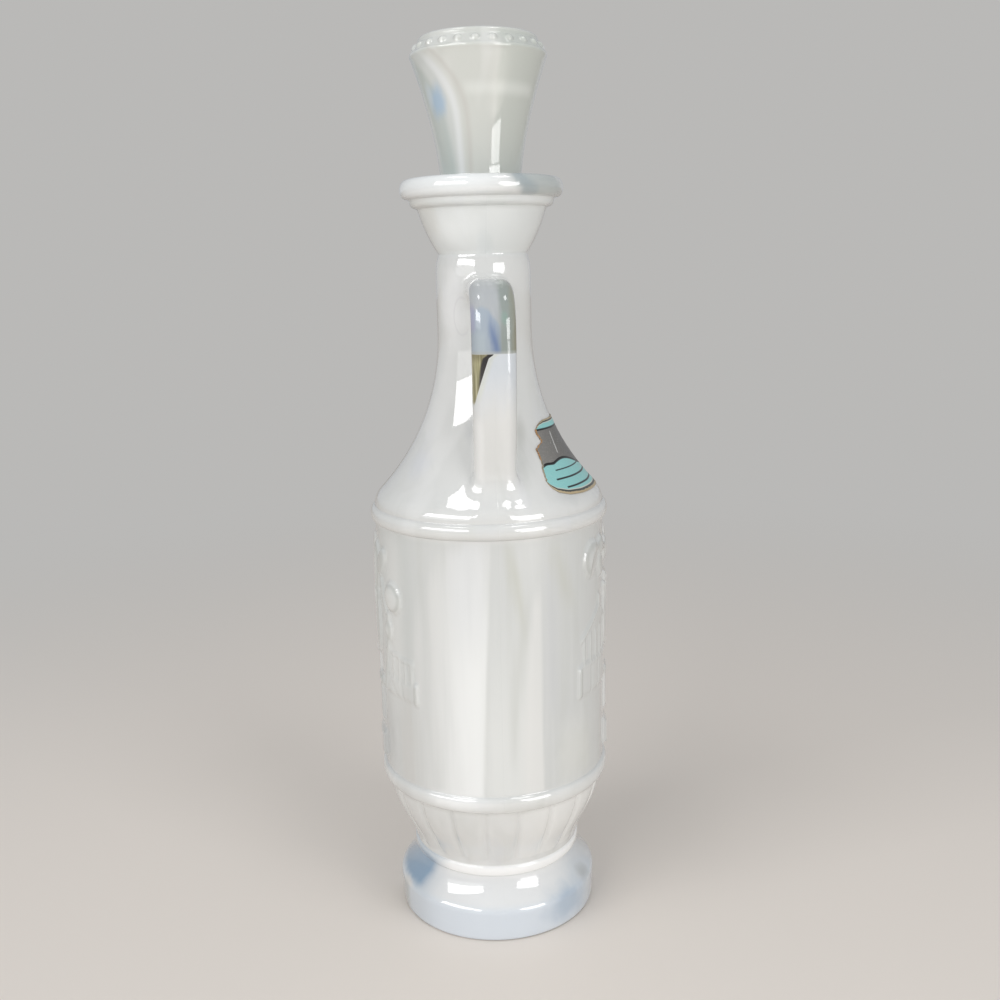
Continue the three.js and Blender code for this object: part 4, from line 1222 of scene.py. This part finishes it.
# %% Printed foil
def printed_foil():
    """The bands, rules and wave of the print, the torn edge, scuffs, and the foil's shine."""
    material, shader, place = new_material("printed_foil", IOR=1.5, Coat_Weight=0.25,
                                           Coat_Roughness=0.12)
    sheet = place.make("ShaderNodeUVMap", {}, {"uv_map": "sheet"})
    u, v = sheet.axis(0), sheet.axis(1)
    z = place.axis(2)
    turn = azimuth_of(place)
    turquoise, silver, black = (0.26, 0.57, 0.56), (0.27, 0.26, 0.245), (0.012, 0.012, 0.014)
    grain = place.noise((0.9, 0.9, 0.35), 4, 6.0)
    speck = place.noise((0.5, 0.5, 0.5), 2, 16.0)

    phase = (turn - 55) * (2 * math.pi / 70)
    wave = phase.maths("COSINE", phase) * 2.3 + 182.6 + turn.eased(45, 35) * 1.6
    band = (z - wave).eased(-0.08, 0.08) * z.eased(195.8, 195.6)
    rows = (z - 181.5).between(-0.2, 0.2, 0.1) * turn.between(42, 138, 0.5)
    rows = rows.either((z - 178.6).between(-0.28, 0.28, 0.1) * turn.between(39, 141, 0.5))
    rows = rows.either((z - 175.6).between(-0.28, 0.28, 0.1) * turn.between(44, 136, 0.5))
    scratch = abs(turn - 54 - (z - 186.8) * 0.45 + (grain - 0.5) * 1.5).eased(0.9, 0.3)
    scratch = scratch * z.between(186.8, 194.4, 0.4)

    along = u.maths("MINIMUM", u, 1 - u) * 2.4
    rim = along.maths("MINIMUM", along, v.maths("MINIMUM", v, 1 - v))
    rag = (place.noise((1.4, 1.4, 1.4), 3, 7.0) - 0.5) * 0.03
    torn = along.eased(0.085, 0.05) * z.eased(184, 187) * turn.eased(90, 80)
    flake = place.noise((0.7, 0.7, 0.7), 2, 9.0).eased(0.55, 0.62)
    scuff = place.noise((1.2, 1.2, 4), 4, 8.0).eased(0.68, 0.74)
    grey = coats(silver, (
        ("grey away from the light", turn.eased(34, 84), 1, (0.10, 0.095, 0.09)),
        ("grain", grain.eased(0.4, 0.75), 0.35, (0.42, 0.40, 0.37)),
    ))
    colour = coats(turquoise, (
        ("specks", speck.eased(0.5, 0.7), 0.3, (0.40, 0.66, 0.63)),
        ("grey band", band, 1, grey),
        ("wavy rule", abs(z - wave).eased(0.55, 0.30), 1, black),
        ("straight rule", abs(z - 195.7).eased(0.42, 0.22), 1, black),
        ("three rows", rows, 1, black),
        ("scratch", scratch, 0.9, (0.72, 0.72, 0.70)),
        ("pale line", rim.between(0.050, 0.062, 0.003), 1, (0.60, 0.62, 0.55)),
        ("dark rule", rim.eased(0.054, 0.048), 1, (0.05, 0.055, 0.05)),
        ("tan edge", (rim + rag).eased(0.030, 0.022), 1, (0.45, 0.36, 0.22)),
        ("torn paper", (torn + rag * 12).eased(0.45, 0.6), 1, (0.50, 0.27, 0.10)),
        ("its flakes", torn * flake, 0.8, (0.10, 0.05, 0.02)),
        ("scuffs", scuff, 0.4, (0.62, 0.63, 0.60)),
    ))
    colour.into(shader, "Base Color")
    (band * 0.5 * (1 - torn)).into(shader, "Metallic")
    (0.32 + 0.2 * grain).into(shader, "Roughness")
    (scratch * -0.1 + scuff * -0.05 + grain * 0.05).bump(0.4).into(shader, "Normal")
    return material


# %% [markdown]
# Each piece now rides on the body that it moves with and stands for one node of the CAD model.
# The stopper and its cork are lifted out together.

# %% Give each piece its material, its body and its CAD node
for made, material, body, node, slot in (
        (glass_bottle, bottle_glass(), "bottle", "glass_bottle", "slag_glass"),
        (foil_label, printed_foil(), "bottle", "foil_label", "foil"),
        (glass_stopper, stopper_glass(), "stopper", "glass_stopper", "slag_glass"),
        (cork_sleeve, cork_bark(), "stopper", "cork_sleeve", "cork")):
    made.data.materials.append(material)
    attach(made, body)
    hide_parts(node)
    print(made.name, "wears", material.name, len(material.node_tree.nodes), "nodes")

# %% [markdown]
# The studio is a wide pale floor under an even grey sky. Two tall soft windows stand in front of
# the bottle, a wide one on the left and a narrower, lower one on the right. Two lamps hang above
# them, and a dim sill glows under each. They give the neck, the shoulder and the foot their own
# square highlights. Far away the floor turns into the colour of the sky, but only for the camera,
# so it lights nothing.

# %% Floor and sky
SKY_SEEN = (0.49, 0.485, 0.475)
SKY_LIGHT = (0.445, 0.455, 0.467)
FLOOR_TONE = (0.81, 0.75, 0.69)
FLOOR_SIZE = 16
FLOOR_DROP = 0.0003

bpy.ops.mesh.primitive_plane_add(size=FLOOR_SIZE, location=(0, 0, -FLOOR_DROP))
floor = bpy.context.object
floor.name = "floor"
floor_paint, floor_shader, floor_place = new_material("floor_paint", Roughness=0.6,
                                                      Base_Color=(*FLOOR_TONE, 1))
seen = floor_place.make("ShaderNodeLightPath", {}, output="Is Camera Ray")
far = seen * floor_place.length().eased(150, 800)
glow = floor_place.make("ShaderNodeEmission", {"Color": (*SKY_SEEN, 1)})
both = far.make("ShaderNodeMixShader", {0: far, 1: Wire(far.tree, floor_shader.outputs[0]), 2: glow})
both.into(far.tree.nodes["Material Output"], "Surface")
floor.data.materials.append(floor_paint)

world = bpy.data.worlds.new("sky")
bpy.context.scene.world = world
world.use_nodes = True
seen = Wire(world.node_tree).make("ShaderNodeLightPath", {}, output="Is Camera Ray")
seen.paint(SKY_LIGHT, SKY_SEEN).into(world.node_tree.nodes["Background"], "Color")


# %% Windows and lamps
def soft_light(name, azimuth, away, height, aim, size, watts):
    """An area light at a distance and height in metres, turned to a height on the bottle's axis."""
    lamp = bpy.data.lights.new(name, "AREA")
    lamp.shape = "RECTANGLE"
    lamp.size, lamp.size_y = size
    lamp.energy = watts
    made = bpy.data.objects.new(name, lamp)
    bpy.context.scene.collection.objects.link(made)
    place = Vector((away * math.sin(math.radians(azimuth)), -away * math.cos(math.radians(azimuth)),
                    height))
    made.location = place
    made.rotation_euler = (place - Vector((0, 0, aim))).to_track_quat("Z", "Y").to_euler()


soft_light("left_window", -48, 1.20, 0.72, 0.72, (1.07, 0.42), 7.0)
soft_light("left_sill", -48, 1.20, 0.40, 0.40, (1.07, 0.20), 0.6)
soft_light("right_window", 34.5, 0.94, 0.37, 0.37, (0.49, 0.36), 2.55)
soft_light("right_sill", 35.5, 0.94, 0.10, 0.10, (0.37, 0.16), 0.60)
soft_light("left_lamp", -58, 0.50, 1.20, 0.17, (0.36, 0.20), 1.1)
soft_light("right_lamp", 40, 0.50, 1.15, 0.17, (0.28, 0.22), 0.95)

# %% [markdown]
# The camera stands where the photographer did: a little left of the handle's plane, about the
# neck's height, looking down by 12 degrees and leaning by one. Its focal length is a little more
# than the picture's width.

# %% Camera
CAMERA_AZIMUTH = math.radians(-4.8)
CAMERA_DISTANCE = 0.4153
CAMERA_HEIGHT = 0.2556
CAMERA_RIGHT = 0.0044
CAMERA_DOWN = math.radians(12.2)
CAMERA_LEAN = math.radians(-1.25)
CAMERA_FOCAL_SHARE = 1.09
camera_data = bpy.data.cameras.new("camera")
camera_data.sensor_width = 36
camera_data.lens = camera_data.sensor_width * CAMERA_FOCAL_SHARE
camera = bpy.data.objects.new("camera", camera_data)
bpy.context.scene.collection.objects.link(camera)
bpy.context.scene.camera = camera
camera.matrix_world = (Matrix.Rotation(CAMERA_AZIMUTH, 4, "Z")
                       @ Matrix.Translation((CAMERA_RIGHT, -CAMERA_DISTANCE, CAMERA_HEIGHT))
                       @ Matrix.Rotation(math.pi / 2 - CAMERA_DOWN, 4, "X")
                       @ Matrix.Rotation(CAMERA_LEAN, 4, "Z"))
camera_data.clip_start = 0.01
bpy.context.scene.view_settings.view_transform = "Standard"
